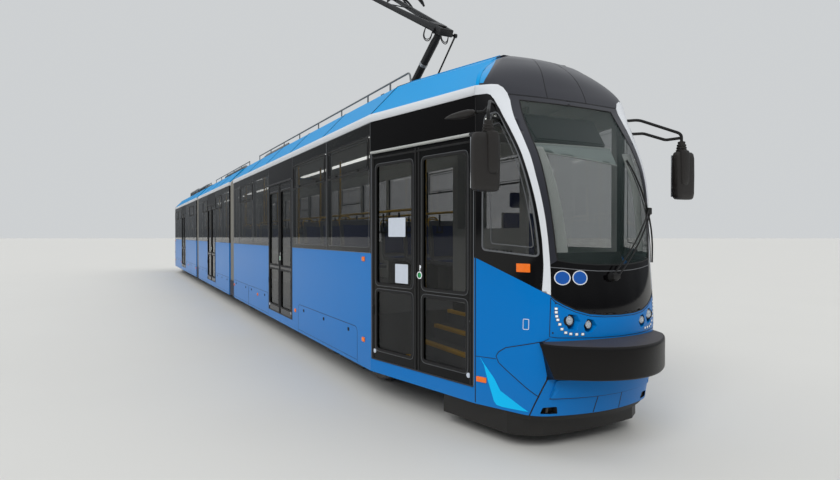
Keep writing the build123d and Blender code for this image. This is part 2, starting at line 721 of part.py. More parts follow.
BOGIES = {
    "bogie_1": (BOGIE_X, True),
    "bogie_2": (PIVOT_X, False),
    "bogie_3": (-PIVOT_X, False),
    "bogie_4": (-BOGIE_X, True),
}
for number, (name, (x0, powered)) in enumerate(BOGIES.items()):
    save(name, bogie(x0, powered))
    for axle, turn in enumerate((1, -1)):
        save(f"wheelset_{2 * number + axle + 1}", wheelset(x0 + turn * WHEELBASE / 2, -turn))


# Bellows of the articulations: folds that alternate between two outlines
BELLOWS_FOLDS = 6
BELLOWS_FOOT_Z = 640
BELLOWS_INSET = (25, 80)
BELLOWS_T = 15


def bellows_face(x, inset):
    """An arch that follows the body's section, open at its foot."""
    arch = []
    for depth in (inset, inset + BELLOWS_T):
        arch.append([(HALF - depth, BELLOWS_FOOT_Z), (HALF - depth, CORNICE_Z - depth / 2),
                     (EAVES_Y - depth / 2, EAVES_Z - depth)])
    outer, inner = arch
    ring = outer + [(-y, z) for y, z in reversed(outer)] + [(-y, z) for y, z in inner] + inner[::-1]
    with BuildSketch(Plane((x, 0, 0), x_dir=(0, 1, 0), z_dir=(1, 0, 0))) as face:
        with BuildLine():
            Polyline(*ring, close=True)
        make_face()
    return face.sketch.faces()[0]


with BuildPart() as bellows:
    places = [PIVOT_X - GAP_HALF + GAP_HALF * step / BELLOWS_FOLDS for step in range(2 * BELLOWS_FOLDS + 1)]
    loft([bellows_face(x, BELLOWS_INSET[step % 2]) for step, x in enumerate(places)], ruled=True)
for end, sign in ENDS.items():
    save(f"{end}_bellows", for_end(bellows.part, sign))


# Pantograph
PAN_FRAME_X = (9700, 10760)
PAN_FRAME_Z = (DECK_Z + INSULATOR_H, DECK_Z + INSULATOR_H + 50)


def at(place, y):
    """A place in the side view, at a distance to the left of the middle."""
    return (place[0], y, place[1])


arm_turn = math.atan2(PAN_HEAD[1] - PAN_KNEE[1], PAN_HEAD[0] - PAN_KNEE[0])
PAN_TAIL_END = (PAN_KNEE[0] - PAN_TAIL * math.cos(arm_turn), PAN_KNEE[1] - PAN_TAIL * math.sin(arm_turn))

with BuildPart() as pan_base:
    for x in PAN_FRAME_X:
        block((x - 30, x + 30), (-450, 450), PAN_FRAME_Z)
        for y in (-400, 400):
            with Locations((x, y, DECK_Z + INSULATOR_H / 2)):
                Cylinder(40, INSULATOR_H)
    for y in (-PAN_BASE_Y, PAN_BASE_Y):
        block(PAN_FRAME_X, (y - 25, y + 25), PAN_FRAME_Z)
        block((PAN_BASE[0] - 45, PAN_BASE[0] + 45), (y - 20, y + 20), (PAN_FRAME_Z[1], PAN_BASE[1] + 45))
        across(PAN_BASE[0], y - 25, y + 25, PAN_BASE[1], 30 + RUNNING_FIT, Mode.SUBTRACT)
    block((PAN_ROD[0] - 40, PAN_ROD[0] + 40), (ROD_Y + 25, PAN_BASE_Y), PAN_FRAME_Z)
    block((PAN_ROD[0] - 40, PAN_ROD[0] + 40), (ROD_Y + 25, ROD_Y + 45), (PAN_FRAME_Z[0], PAN_ROD[1] + 40))
    across(PAN_ROD[0], ROD_Y + 20, ROD_Y + 50, PAN_ROD[1], 12 + RUNNING_FIT, Mode.SUBTRACT)
save("pantograph_base", pan_base.part)

with BuildPart() as lower_arm:
    across(PAN_BASE[0], -PAN_BASE_Y - 25, PAN_BASE_Y + 25, PAN_BASE[1], 30)
    across(PAN_KNEE[0], -PAN_KNEE_Y - 30, PAN_KNEE_Y + 30, PAN_KNEE[1], 25)
    add(rod(at(PAN_BASE, 0), at(PAN_KNEE, 0), 38))
save("pantograph_lower_arm", lower_arm.part)

with BuildPart() as coupling_rod:
    add(rod(at(PAN_ROD, ROD_Y), at(PAN_TAIL_END, ROD_Y), 11))
    across(PAN_ROD[0], ROD_Y - 15, ROD_Y + 45, PAN_ROD[1], 12)
    across(PAN_TAIL_END[0], ROD_Y - 15, ROD_Y + 15, PAN_TAIL_END[1], 26)
save("pantograph_rod", coupling_rod.part)

with BuildPart() as upper_arm:
    for side in SIDES:
        add(rod(at(PAN_KNEE, side * PAN_KNEE_Y), at(PAN_HEAD, side * PAN_HEAD_Y), 19))
        across(PAN_KNEE[0], side * PAN_KNEE_Y - 20, side * PAN_KNEE_Y + 20, PAN_KNEE[1], 42)
    add(rod(at(PAN_KNEE, PAN_KNEE_Y), at(PAN_TAIL_END, ROD_Y - 40), 16))
    across(PAN_HEAD[0], -PAN_HEAD_Y - 60, PAN_HEAD_Y + 60, PAN_HEAD[1], 16)
    across(PAN_KNEE[0], -PAN_KNEE_Y - 30, PAN_KNEE_Y + 30, PAN_KNEE[1], 25 + RUNNING_FIT, Mode.SUBTRACT)
save("pantograph_upper_arm", upper_arm.part)

HEAD_PITCH = 340
HEAD_LIFT = 90
with BuildPart() as pan_head:
    for y in (-PAN_HEAD_Y - 40, PAN_HEAD_Y + 40):
        block((PAN_HEAD[0] - HEAD_PITCH / 2, PAN_HEAD[0] + HEAD_PITCH / 2), (y - 10, y + 10),
              (PAN_HEAD[1] - 25, PAN_HEAD[1] + 25))
        for x in (PAN_HEAD[0] - HEAD_PITCH / 2, PAN_HEAD[0] + HEAD_PITCH / 2):
            block((x - 12, x + 12), (y - 10, y + 10), (PAN_HEAD[1] - 25, PAN_HEAD[1] + HEAD_LIFT))
    for x in (PAN_HEAD[0] - HEAD_PITCH / 2, PAN_HEAD[0] + HEAD_PITCH / 2):
        block((x - 30, x + 30), (-PAN_HEAD_W / 2 + 250, PAN_HEAD_W / 2 - 250),
              (PAN_HEAD[1] + HEAD_LIFT, PAN_HEAD[1] + HEAD_LIFT + 40))
        for side in SIDES:
            tip = (x, side * PAN_HEAD_W / 2, PAN_HEAD[1] - 120)
            add(rod((x, side * (PAN_HEAD_W / 2 - 260), PAN_HEAD[1] + HEAD_LIFT + 20), tip, 14))
    across(PAN_HEAD[0], -PAN_HEAD_Y - 60, PAN_HEAD_Y + 60, PAN_HEAD[1], 16 + RUNNING_FIT, Mode.SUBTRACT)
save("pantograph_head", pan_head.part)

# Roof equipment: covers as (x from, x to), half width and height, and a rail along the roof's edge
ROOF_BOXES = {
    "front": (((4000, 5900), 560, 160), ((6300, 7200), 420, 130)),
    "middle": (((-1500, 1500), 560, 180),),
    "rear": (((5600, 8100), 600, 220), ((8400, 10900), 600, 260), ((11150, 12700), 380, 150)),
}
COVER_CHAMFER = 30
RAIL_Y = -640
RAIL_H = 150
RAIL_R = 12
RAIL_PITCH = 1100
RAIL_ENDS = {"front": (3900, 9400), "middle": (-2750, 2750), "rear": (3900, 9400)}


def roof_cover(x_span, half_y, height):
    """A cover on the deck with chamfered top edges."""
    with BuildPart() as piece:
        block(x_span, (-half_y, half_y), (DECK_Z, DECK_Z + height))
        chamfer(piece.faces().sort_by(Axis.Z)[-1].edges(), COVER_CHAMFER)
    return piece.part


def roof_rail(x_span):
    """A rail on posts along the deck's edge, its posts spaced as near to the pitch as will fit."""
    length = x_span[1] - x_span[0]
    gaps = max(1, round(length / RAIL_PITCH))
    top = DECK_Z + RAIL_H
    with BuildPart() as piece:
        add(rod((x_span[0] - RAIL_R, RAIL_Y, top), (x_span[1] + RAIL_R, RAIL_Y, top), RAIL_R))
        for post in range(gaps + 1):
            x = x_span[0] + length * post / gaps
            add(rod((x, RAIL_Y, DECK_Z), (x, RAIL_Y, top), RAIL_R - 2))
    return piece.part


roof_pieces = {
    name: [roof_cover(*cover) for cover in covers] + [roof_rail(RAIL_ENDS[name])]
    for name, covers in ROOF_BOXES.items()
}
for end, sign in ENDS.items():
    rail = roof_pieces[end].pop()
    there = [for_end(piece, sign) for piece in roof_pieces[end] + under_boxes] + [for_end(rail, sign)]
    save(f"{end}_equipment", *there)
save("middle_equipment", *roof_pieces["middle"])


# Saloon: rows of seats, grab poles, cab fittings
SEAT_W = 430
SEAT_H = 430
SEAT_PROFILE = ((0, 0), (430, 0), (430, 60), (60, 70), (-40, 600), (-90, 590))
SEAT_GAP = 35
SEAT_PITCH = 440
BENCH_EDGE = HALF - WALL - SEAT_GAP
BENCHES = {"left": (BENCH_EDGE - SEAT_W - SEAT_PITCH, BENCH_EDGE - SEAT_W), "right": (-BENCH_EDGE,)}
END_ROWS = (4350, 5150, 5950, 9000, 9800, 10600)
MIDDLE_ROWS = (-2750, 2350)


def seat(x, y, floor_z):
    """A moulded seat on a box pedestal, facing forward."""
    with BuildPart() as piece:
        with BuildSketch(Plane((x, y, floor_z + SEAT_H), x_dir=(1, 0, 0), z_dir=(0, -1, 0))):
            with BuildLine():
                Polyline(*SEAT_PROFILE, close=True)
            make_face()
        extrude(amount=-SEAT_W)
        block((x + 60, x + 370), (y + 40, y + SEAT_W - 40), (floor_z, floor_z + SEAT_H))
    return piece.part


def seat_rows(rows, floor_z):
    """Seats of a section, two and one across the aisle."""
    return [seat(x, y, floor_z) for x in rows for places in BENCHES.values() for y in places]


POLE_R = 17
POLE_Y = (-620, 180)
END_POLES = (4250, 5850, 7050, 8800, 10450, 11700)
MIDDLE_POLES = ((-2200, HIGH_FLOOR_Z), (-900, LOW_FLOOR_Z), (900, LOW_FLOOR_Z), (2200, HIGH_FLOOR_Z))


def poles(places):
    """Upright grab poles from the floor to the ceiling, each pair as separate bars."""
    return [rod((x, y, floor_z), (x, y, CEILING_Z), POLE_R) for x, floor_z in places for y in POLE_Y]


end_seats = seat_rows(END_ROWS, HIGH_FLOOR_Z)
end_poles = poles([(x, HIGH_FLOOR_Z) for x in END_POLES])
save("middle_seats", *seat_rows(MIDDLE_ROWS, HIGH_FLOOR_Z))
save("middle_poles", *poles(MIDDLE_POLES))

DESK = ((13280, HIGH_FLOOR_Z), (13540, HIGH_FLOOR_Z), (13600, 1300), (13860, 1370), (13860, 1430),
        (13480, 1450), (13340, 1300))
DESK_HALF = 470
desk = prism(Plane.XZ, DESK, DESK_HALF, both=True)
DRIVER_PLACE = (12620, -160)
CUSHION = (460, 460, 90)
CUSHION_H = 400
BACKREST = (110, 440, 600)
HEADREST = (80, 240, 200)
SEAT_POST_R = 110
with BuildPart() as driver_seat:
    x, y = DRIVER_PLACE
    middle_y = y + CUSHION[1] / 2
    z = HIGH_FLOOR_Z + CUSHION_H
    block((x, x + CUSHION[0]), (y, y + CUSHION[1]), (z, z + CUSHION[2]))
    z += CUSHION[2]
    for along, wide, tall in (BACKREST, HEADREST):
        block((x, x + along), (middle_y - wide / 2, middle_y + wide / 2), (z, z + tall))
        z += tall
    with Locations((x + CUSHION[0] / 2, middle_y, HIGH_FLOOR_Z + CUSHION_H / 2)):
        Cylinder(SEAT_POST_R, CUSHION_H)
PARTITION_X = (11900, 13200)
PARTITION_Y = (-245, 1050)
PARTITION_T = (35, 30)
PARTITION_TOP = 2900
CAB_DOORWAY = ((180, 880), HIGH_FLOOR_Z + 60, HIGH_FLOOR_Z + 1900)
PARTITION_LIGHT = ((12000, 13100), HIGH_FLOOR_Z + 900, HIGH_FLOOR_Z + 1900)
with BuildPart() as partition:
    back, wing = PARTITION_T
    z_span = (HIGH_FLOOR_Z, PARTITION_TOP)
    block((PARTITION_X[0], PARTITION_X[0] + back), PARTITION_Y, z_span)
    block(PARTITION_X, (PARTITION_Y[0], PARTITION_Y[0] + wing), z_span)
    y_span, z0, z1 = CAB_DOORWAY
    block((PARTITION_X[0] - back, PARTITION_X[0] + 2 * back), y_span, (z0, z1), mode=Mode.SUBTRACT)
    x_span, z0, z1 = PARTITION_LIGHT
    block(x_span, (PARTITION_Y[0] - wing, PARTITION_Y[0] + 2 * wing), (z0, z1), mode=Mode.SUBTRACT)

save("front_seats", *end_seats, driver_seat.part)
save("rear_seats", *(for_end(piece, ENDS["rear"]) for piece in end_seats))
for end, sign in ENDS.items():
    save(f"{end}_poles", *(for_end(piece, sign) for piece in end_poles))
save("cab_fittings", desk, partition.part)


# Mirrors on tube arms, the wiper and the amber side lamps
MIRROR_STEM = (13800, 1070)
MIRROR_TOP_Z = 2700
MIRROR_TUBE_R = 13
HOUSING = (98, 233, 440)
HOUSING_Z = 2280
HOUSING_Y = 1095
HOUSING_SOFT = (30, 14)
COLUMN_R = 48
COLUMN_Z = (2190, 2505)
COLUMN_OUT = 20
COLLAR = ((48, 2520), (38, 2535), (44, 2550), (34, 2565), (38, 2580), (26, 2596))
KERB_MIRROR = ((13290, 1145, 2692), (13545, 1020, 2707))
KERB_PLAN = ((0, 0), (40, 16), (120, 34), (200, 40), (250, 30), (284, 0))
ARM_FEET = ((13380, 690, 2850), (13440, 650, 2640))


def tube(points, bends, radius):
    """A bent tube along a route of straight runs."""
    with BuildPart() as piece:
        with BuildLine() as path:
            FilletPolyline(*points, radius=bends)
        with BuildSketch(Plane(points[0], z_dir=Vector(*points[1]) - Vector(*points[0]))):
            Circle(radius)
        sweep(path=path.wires()[0])
    return piece.part


def teardrop(start, end, plan):
    """A pointed body turned about the line between two places, from (distance, radius) along it."""
    way = (Vector(*end) - Vector(*start)).normalized()
    view = Plane(start, x_dir=way, z_dir=Vector(0, 0, 1).cross(way))
    with BuildPart() as piece:
        with BuildSketch(view):
            with BuildLine():
                Polyline(*plan, close=True)
            make_face()
        revolve(axis=Axis(start, way))
    return piece.part


with BuildPart() as mirror_housing:
    with BuildSketch(Plane.XY.offset(HOUSING_Z - HOUSING[2] / 2)):
        with Locations((MIRROR_STEM[0], HOUSING_Y)):
            RectangleRounded(HOUSING[0], HOUSING[1], HOUSING_SOFT[0])
    extrude(amount=HOUSING[2])
    ends_of_housing = mirror_housing.faces().sort_by(Axis.Z)
    chamfer(ends_of_housing[0].edges() + ends_of_housing[-1].edges(), HOUSING_SOFT[1])
with BuildPart() as mirror_left:
    x, y = MIRROR_STEM
    upper, lower = ARM_FEET
    add(tube((upper, (13500, 850, upper[2]), (x, y, MIRROR_TOP_Z)), 60, MIRROR_TUBE_R))
    add(tube((lower, (13640, 930, 2630), (x, y, MIRROR_TOP_Z - 90)), 40, MIRROR_TUBE_R))
    add(rod((x, y, HOUSING_Z), (x, y, MIRROR_TOP_Z + MIRROR_TUBE_R), MIRROR_TUBE_R + 2))
    add(mirror_housing.part)
    with Locations((x + COLUMN_OUT, y, sum(COLUMN_Z) / 2)):
        Cylinder(COLUMN_R, COLUMN_Z[1] - COLUMN_Z[0])
    low = COLUMN_Z[1]
    for radius, high in COLLAR:
        with Locations((x, y, (low + high) / 2)):
            Cylinder(radius, high - low)
        low = high
    add(teardrop(*KERB_MIRROR, KERB_PLAN))
    add(rod(KERB_MIRROR[1], (13600, 925, 2660), MIRROR_TUBE_R))
    add(rod((13600, 925, 2660), (13640, 945, 2780), MIRROR_TUBE_R))
    add(nose, mode=Mode.SUBTRACT)
    add(cap_solid, mode=Mode.SUBTRACT)
save("mirrors", *both_sides(mirror_left.part.solids().sort_by(SortBy.VOLUME)[-1]))


def nose_x(y, z):
    """How far forward the nose's surface stands at a place seen from the front."""
    for low, high in zip(NOSE, NOSE[1:]):
        if low[0] <= z <= high[0]:
            share = (z - low[0]) / (high[0] - low[0])
            _, corner_x, corner_y, centre_x = (a + share * (b - a) for a, b in zip(low, high))
            return centre_x - (centre_x - corner_x) * (y / corner_y) ** 2
    raise ValueError("height outside the nose")


def on_nose(y, z, off):
    """A place that stands off the nose by a distance."""
    return (nose_x(y, z) + off, y, z)


WIPER_PIVOT = (-65, 1400)
WIPER_END = (494, 1933)
WIPER_RISE = (46, 40)
WIPER_SPREAD = 20
WIPER_ROD_R = 7
SPINDLE_R = 24
BLADE_HALF = 440
BLADE_LEAN = 0.28
BLADE_R = 9
BLADE_RISE = 20


def beside_wiper(place, shift):
    """A place moved across the wiper's arm, seen from the front."""
    way = Vector(WIPER_END[0] - WIPER_PIVOT[0], WIPER_END[1] - WIPER_PIVOT[1]).normalized()
    return (place[0] - way.Y * shift, place[1] + way.X * shift)


with BuildPart() as wiper:
    add(rod(on_nose(*WIPER_PIVOT, -20), on_nose(*WIPER_PIVOT, WIPER_RISE[0] + 14), SPINDLE_R))
    for shift in (-WIPER_SPREAD, WIPER_SPREAD):
        ends = [on_nose(*beside_wiper(place, shift), rise)
                for place, rise in zip((WIPER_PIVOT, WIPER_END), WIPER_RISE)]
        add(rod(*ends, WIPER_ROD_R))
    for place, rise in zip((WIPER_PIVOT, WIPER_END), WIPER_RISE):
        bar = [on_nose(*beside_wiper(place, shift * 1.3), rise) for shift in (-WIPER_SPREAD, WIPER_SPREAD)]
        add(rod(*bar, WIPER_ROD_R + 2))
    add(rod(on_nose(*WIPER_END, WIPER_RISE[1]), on_nose(*WIPER_END, BLADE_RISE - BLADE_R / 2), BLADE_R + 4))
    blade = [on_nose(WIPER_END[0] - BLADE_LEAN * k, WIPER_END[1] + k, BLADE_RISE)
             for k in (-BLADE_HALF, 0, BLADE_HALF)]
    for start, finish in zip(blade, blade[1:]):
        add(rod(start, finish, BLADE_R))
    add(nose, mode=Mode.SUBTRACT)
save("wiper", wiper.part)

SIDE_LAMPS = ((11570, 1474), (11570, 600), (8840, 600), (6190, 600), (3700, 600))
SIDE_LAMP = (38, 12, 27)
side_lamps = []
for side in SIDES:
    for x, z in SIDE_LAMPS:
        y = side * HALF
        side_lamps.append(box_piece((x - SIDE_LAMP[0], x + SIDE_LAMP[0]), sorted((y, y + side * SIDE_LAMP[1])),
                                    (z - SIDE_LAMP[2], z + SIDE_LAMP[2])))
for end, sign in ENDS.items():
    save(f"{end}_lamps", *(for_end(piece, sign) for piece in lamp_units + side_lamps))
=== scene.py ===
# %% [markdown]
# # A three-section tram
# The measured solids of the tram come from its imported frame, and they stay as they are. This script
# adds what the eye expects: smooth painted panels, glass, lamps, seals, springs and dust. Everything
# is in metres in the frame's own axes: +X towards the driver's cab, +Y to the left, +Z up.

# %% Load the frame
import math

import bmesh
import bpy
import numpy as np
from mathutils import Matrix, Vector
from mathutils.geometry import delaunay_2d_cdt


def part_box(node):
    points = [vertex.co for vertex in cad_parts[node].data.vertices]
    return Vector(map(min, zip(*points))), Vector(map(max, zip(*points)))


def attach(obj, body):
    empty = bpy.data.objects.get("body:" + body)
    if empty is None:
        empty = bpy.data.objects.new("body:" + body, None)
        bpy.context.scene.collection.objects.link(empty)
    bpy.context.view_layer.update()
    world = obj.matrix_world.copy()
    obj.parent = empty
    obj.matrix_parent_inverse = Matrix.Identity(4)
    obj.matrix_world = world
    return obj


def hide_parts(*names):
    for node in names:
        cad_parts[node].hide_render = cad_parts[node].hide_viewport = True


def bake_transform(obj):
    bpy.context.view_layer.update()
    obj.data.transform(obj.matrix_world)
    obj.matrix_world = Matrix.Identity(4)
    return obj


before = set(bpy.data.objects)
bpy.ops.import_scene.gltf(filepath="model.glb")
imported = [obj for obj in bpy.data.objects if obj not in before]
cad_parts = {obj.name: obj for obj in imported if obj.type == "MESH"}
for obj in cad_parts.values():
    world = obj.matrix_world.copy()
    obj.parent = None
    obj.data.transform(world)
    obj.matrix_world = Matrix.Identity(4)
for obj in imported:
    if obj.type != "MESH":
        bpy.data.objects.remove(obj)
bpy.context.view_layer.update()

ENDS = {"front": 1, "rear": -1}


def linked(name, data):
    """A new object that the scene shows."""
    made = bpy.data.objects.new(name, data)
    bpy.context.scene.collection.objects.link(made)
    return made

# %% [markdown]
# ## Where the camera stands
# The photograph was taken from the platform at eye height, a few steps ahead of the cab and to its
# right. The lens is wide, so the long body runs away to a point. A camera could be turned by hand
# until it looks right, but here its place and lens were worked out from sizes that are known, such as
# the width of the body and the height of the doors, and are written as real values.

# %% Camera
CAMERA_PLACE = (17.42, -3.535, 1.734)
CAMERA_AZIMUTH = math.radians(62.46)
CAMERA_PITCH = math.radians(-0.5)
LENS = 24.8

camera_data = bpy.data.cameras.new("camera")
camera_data.lens = LENS
camera_data.sensor_width = 36
camera_data.sensor_fit = "HORIZONTAL"
camera_data.clip_end = 300
camera = linked("camera", camera_data)
camera.location = CAMERA_PLACE
camera.rotation_euler = (math.radians(90) + CAMERA_PITCH, 0, CAMERA_AZIMUTH)
bpy.context.scene.camera = camera

# %% [markdown]
# ## Shader sums in plain Python
# A painted line on a curved body is a sum: is this spot higher than 1.54 m, or further out than the
# wall? In Blender such a sum is a chain of Math nodes. The small class below wraps one socket, so that
# z > 1.54 or 1 - mask adds its node by itself, and a finish reads like the rule that it follows.

# %% A socket that does sums
class Value:
    """A number, colour or vector in a node tree. Python's operators on it add Math nodes."""

    def __init__(self, tree, socket):
        self.tree = tree
        self.socket = socket

    def node(self, kind, inputs, out=0, **settings):
        """Add a node: its settings first, then the values or links of its inputs."""
        made = self.tree.nodes.new(kind)
        for name, setting in settings.items():
            setattr(made, name, setting)
        for name, value in dict(inputs).items():
            if isinstance(value, Value):
                self.tree.links.new(value.socket, made.inputs[name])
            else:
                made.inputs[name].default_value = value
        return Value(self.tree, made.outputs[out])

    def noise(self, scale, detail=3.0):
        """Soft random mottling, from 0 to 1."""
        return self.node("ShaderNodeTexNoise", {"Vector": self, "Scale": scale, "Detail": detail})

    def limited(self):
        """The number kept between 0 and 1."""
        return self.node("ShaderNodeClamp", {"Value": self})

    def mix(self, low, high):
        """One colour where this mask is 0 and another where it is 1."""
        return self.node("ShaderNodeMix", {0: self, 6: low, 7: high}, out=2, data_type="RGBA")


def operator(operation, swap=False):
    """A Python operator that adds one Math node."""
    def apply(self, other=0.0):
        pair = (other, self) if swap else (self, other)
        return self.node("ShaderNodeMath", enumerate(pair), operation=operation)
    return apply


OPERATIONS = {"add": "ADD", "sub": "SUBTRACT", "mul": "MULTIPLY", "truediv": "DIVIDE",
              "mod": "FLOORED_MODULO"}
for word, operation in OPERATIONS.items():
    setattr(Value, f"__{word}__", operator(operation))
    setattr(Value, f"__r{word}__", operator(operation, swap=True))
Value.__gt__ = operator("GREATER_THAN")
Value.__lt__ = operator("LESS_THAN")
Value.__and__ = operator("MULTIPLY")
Value.__or__ = operator("MAXIMUM")
Value.__abs__ = operator("ABSOLUTE")

# %% [markdown]
# ## One recipe for every finish
# Paint, rubber, glass and steel differ in colour and gloss, but all have faint mottling, a grain and
# some dust low down. One function makes the nodes that all share, and a finish that is painted in
# several colours passes its own rule. Colours are written as they look on a screen, in hexadecimal,
# and turned into the linear values that Blender works with.

# %% Finishes
DUST = "8C8273"


def colour_of(code):
    """A linear colour from its hexadecimal code."""
    channels = [int(code[i:i + 2], 16) / 255 for i in (0, 2, 4)]
    return (*(c / 12.92 if c <= 0.04045 else ((c + 0.055) / 1.055) ** 2.4 for c in channels), 1.0)


def tint(code, factor):
    """A colour made lighter or darker."""
    red, green, blue, _ = colour_of(code)
    return tuple(min(1, c * factor) for c in (red, green, blue)) + (1.0,)


def finish_of(name, code, rough, mottle, size, grain=0.0, grain_size=120, dusty=0.0, dust_top=0.9,
              rule=None, alpha=None, **sockets):
    """A procedural material. rule(place, x, y, z, colour) may repaint it and returns (colour, gloss)."""
    material = bpy.data.materials.new(name)
    material.use_nodes = True
    tree = material.node_tree
    shader = tree.nodes["Principled BSDF"]
    place = Value(tree, tree.nodes.new("ShaderNodeTexCoord").outputs["Object"])
    cloud = place.noise(size)
    colour = cloud.mix(tint(code, 1 - mottle), tint(code, 1 + mottle))
    gloss = cloud * (0.1 * rough) + 0.95 * rough
    split = place.node("ShaderNodeSeparateXYZ", {0: place})
    x, y, z = (Value(tree, split.socket.node.outputs[axis]) for axis in range(3))
    if rule:
        colour, gloss = rule(place, x, y, z, colour, gloss)
    if dusty:
        height = (1 - z / dust_top).limited()
        dust = (height * place.noise(1.3, 6.0) * dusty).limited()
        colour = dust.mix(colour, colour_of(DUST))
        gloss = gloss + dust * 0.5
    tree.links.new(colour.socket, shader.inputs["Base Color"])
    tree.links.new(gloss.socket, shader.inputs["Roughness"])
    if grain:
        bump = place.node("ShaderNodeBump", {"Height": place.noise(grain_size, 2.0), "Strength": grain,
                                             "Distance": 0.002})
        tree.links.new(bump.socket, shader.inputs["Normal"])
    if alpha is not None:
        facing = place.node("ShaderNodeLayerWeight", {"Blend": 0.5}, out="Facing")
        edge = facing * facing * facing * facing
        tree.links.new((edge * (1 - alpha) + alpha).socket, shader.inputs["Alpha"])
    for socket, value in sockets.items():
        shader.inputs[socket.replace("_", " ")].default_value = value
    if "Emission_Strength" in sockets:
        shader.inputs["Emission Color"].default_value = colour_of(code)
    return material


# Body sizes that the painted rules need
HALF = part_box("middle_side_walls")[1].y
ROOF_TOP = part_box("middle_roof")[1].z
TAPER_X = 11.77
CAB_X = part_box("front_side_walls")[1].x
CAB_HALF = 0.845
TAPER = (HALF - CAB_HALF) / (CAB_X - TAPER_X)
BELT_Z = 1.54
STRIPE_Z = (2.92, 3.0)
TRIM_DEPTH = 0.045
GLOSS_BLACK = "060506"
BODY_BLUE = "0070BC"
SKY_BLUE = "008CCB"
STRIPE_WHITE = "D3D6DA"
CAP_GREY = "1D1E27"
LINING = "A9ABA8"
DECK_GREY = "7C8084"
RIB_GREY = "5E6165"
CEILING_GREY = "C9CBC8"
LAMP_AMBER = "E86F08"
CAP_LINE = (13.055, 3.33)


def past_taper(x):
    """How far a shader's x lies past the place where the body starts to taper."""
    past = abs(x) - TAPER_X
    return past & (past > 0)


def half_width(x):
    """The body's half width at a shader's x."""
    return HALF - past_taper(x) * TAPER


def wall_rule(place, x, y, z, colour, gloss):
    """Blue below the belt, gloss black between the panes, a white cornice, pale lining inside."""
    inside = abs(y) < half_width(x) - TRIM_DEPTH
    black = (z > BELT_Z) & (z < STRIPE_Z[0])
    white = z > STRIPE_Z[0]
    colour = black.mix(colour, colour_of(GLOSS_BLACK))
    colour = white.mix(colour, colour_of(STRIPE_WHITE))
    colour = inside.mix(colour, colour_of(LINING))
    return colour, gloss + inside * 0.35


def past_cap_line(x, z):
    """Where the grey of the cap begins, along a slanting line over the roof's edge."""
    drop = (z - CAP_LINE[1]) * -1
    return abs(x) - drop * 1.49 + drop * drop * 2.06 > CAP_LINE[0]


def cap_rule(place, x, y, z, colour, gloss):
    """Grey, but blue behind the slanting line."""
    ahead = (1 - past_cap_line(x, z)) * (abs(y) > 0.30) * (z > 3.02)
    return ahead.mix(colour, colour_of(SKY_BLUE)), gloss


def roof_rule(place, x, y, z, colour, gloss):
    """Blue on the sloping sides, grey on the deck, pale lining under the ceiling."""
    ribs = (x * 3.2) % 1.0 < 0.06
    deck = z > ROOF_TOP - 0.004
    lean = past_taper(x) * 0.22 + 0.955
    slope = half_width(x) - 0.035 - (z - STRIPE_Z[1]) * lean
    inside = (z < ROOF_TOP - 0.25) & (abs(y) < slope)
    colour = (deck & (1 - ribs)).mix(colour, colour_of(DECK_GREY))
    colour = (deck & ribs).mix(colour, colour_of(RIB_GREY))
    colour = inside.mix(colour, colour_of(CEILING_GREY))
    colour = (past_cap_line(x, z) * (1 - inside)).mix(colour, colour_of(CAP_GREY))
    return colour, gloss + deck * 0.3 + inside * 0.3


def amber_rule(place, x, y, z, colour, gloss):
    """Amber away from the nose, bright metal in the headlamps."""
    side = abs(x) < TAPER_X
    return side.mix(colour, colour_of(LAMP_AMBER)), gloss + side * 0.1


def partition_rule(place, x, y, z, colour, gloss):
    """The partition behind the driver is pale, the desk ahead of it dark."""
    behind = (abs(x) < CAB_X - 0.06) & (z > 1.0) & (abs(x) > TAPER_X)
    return behind.mix(colour, colour_of(LINING)), gloss


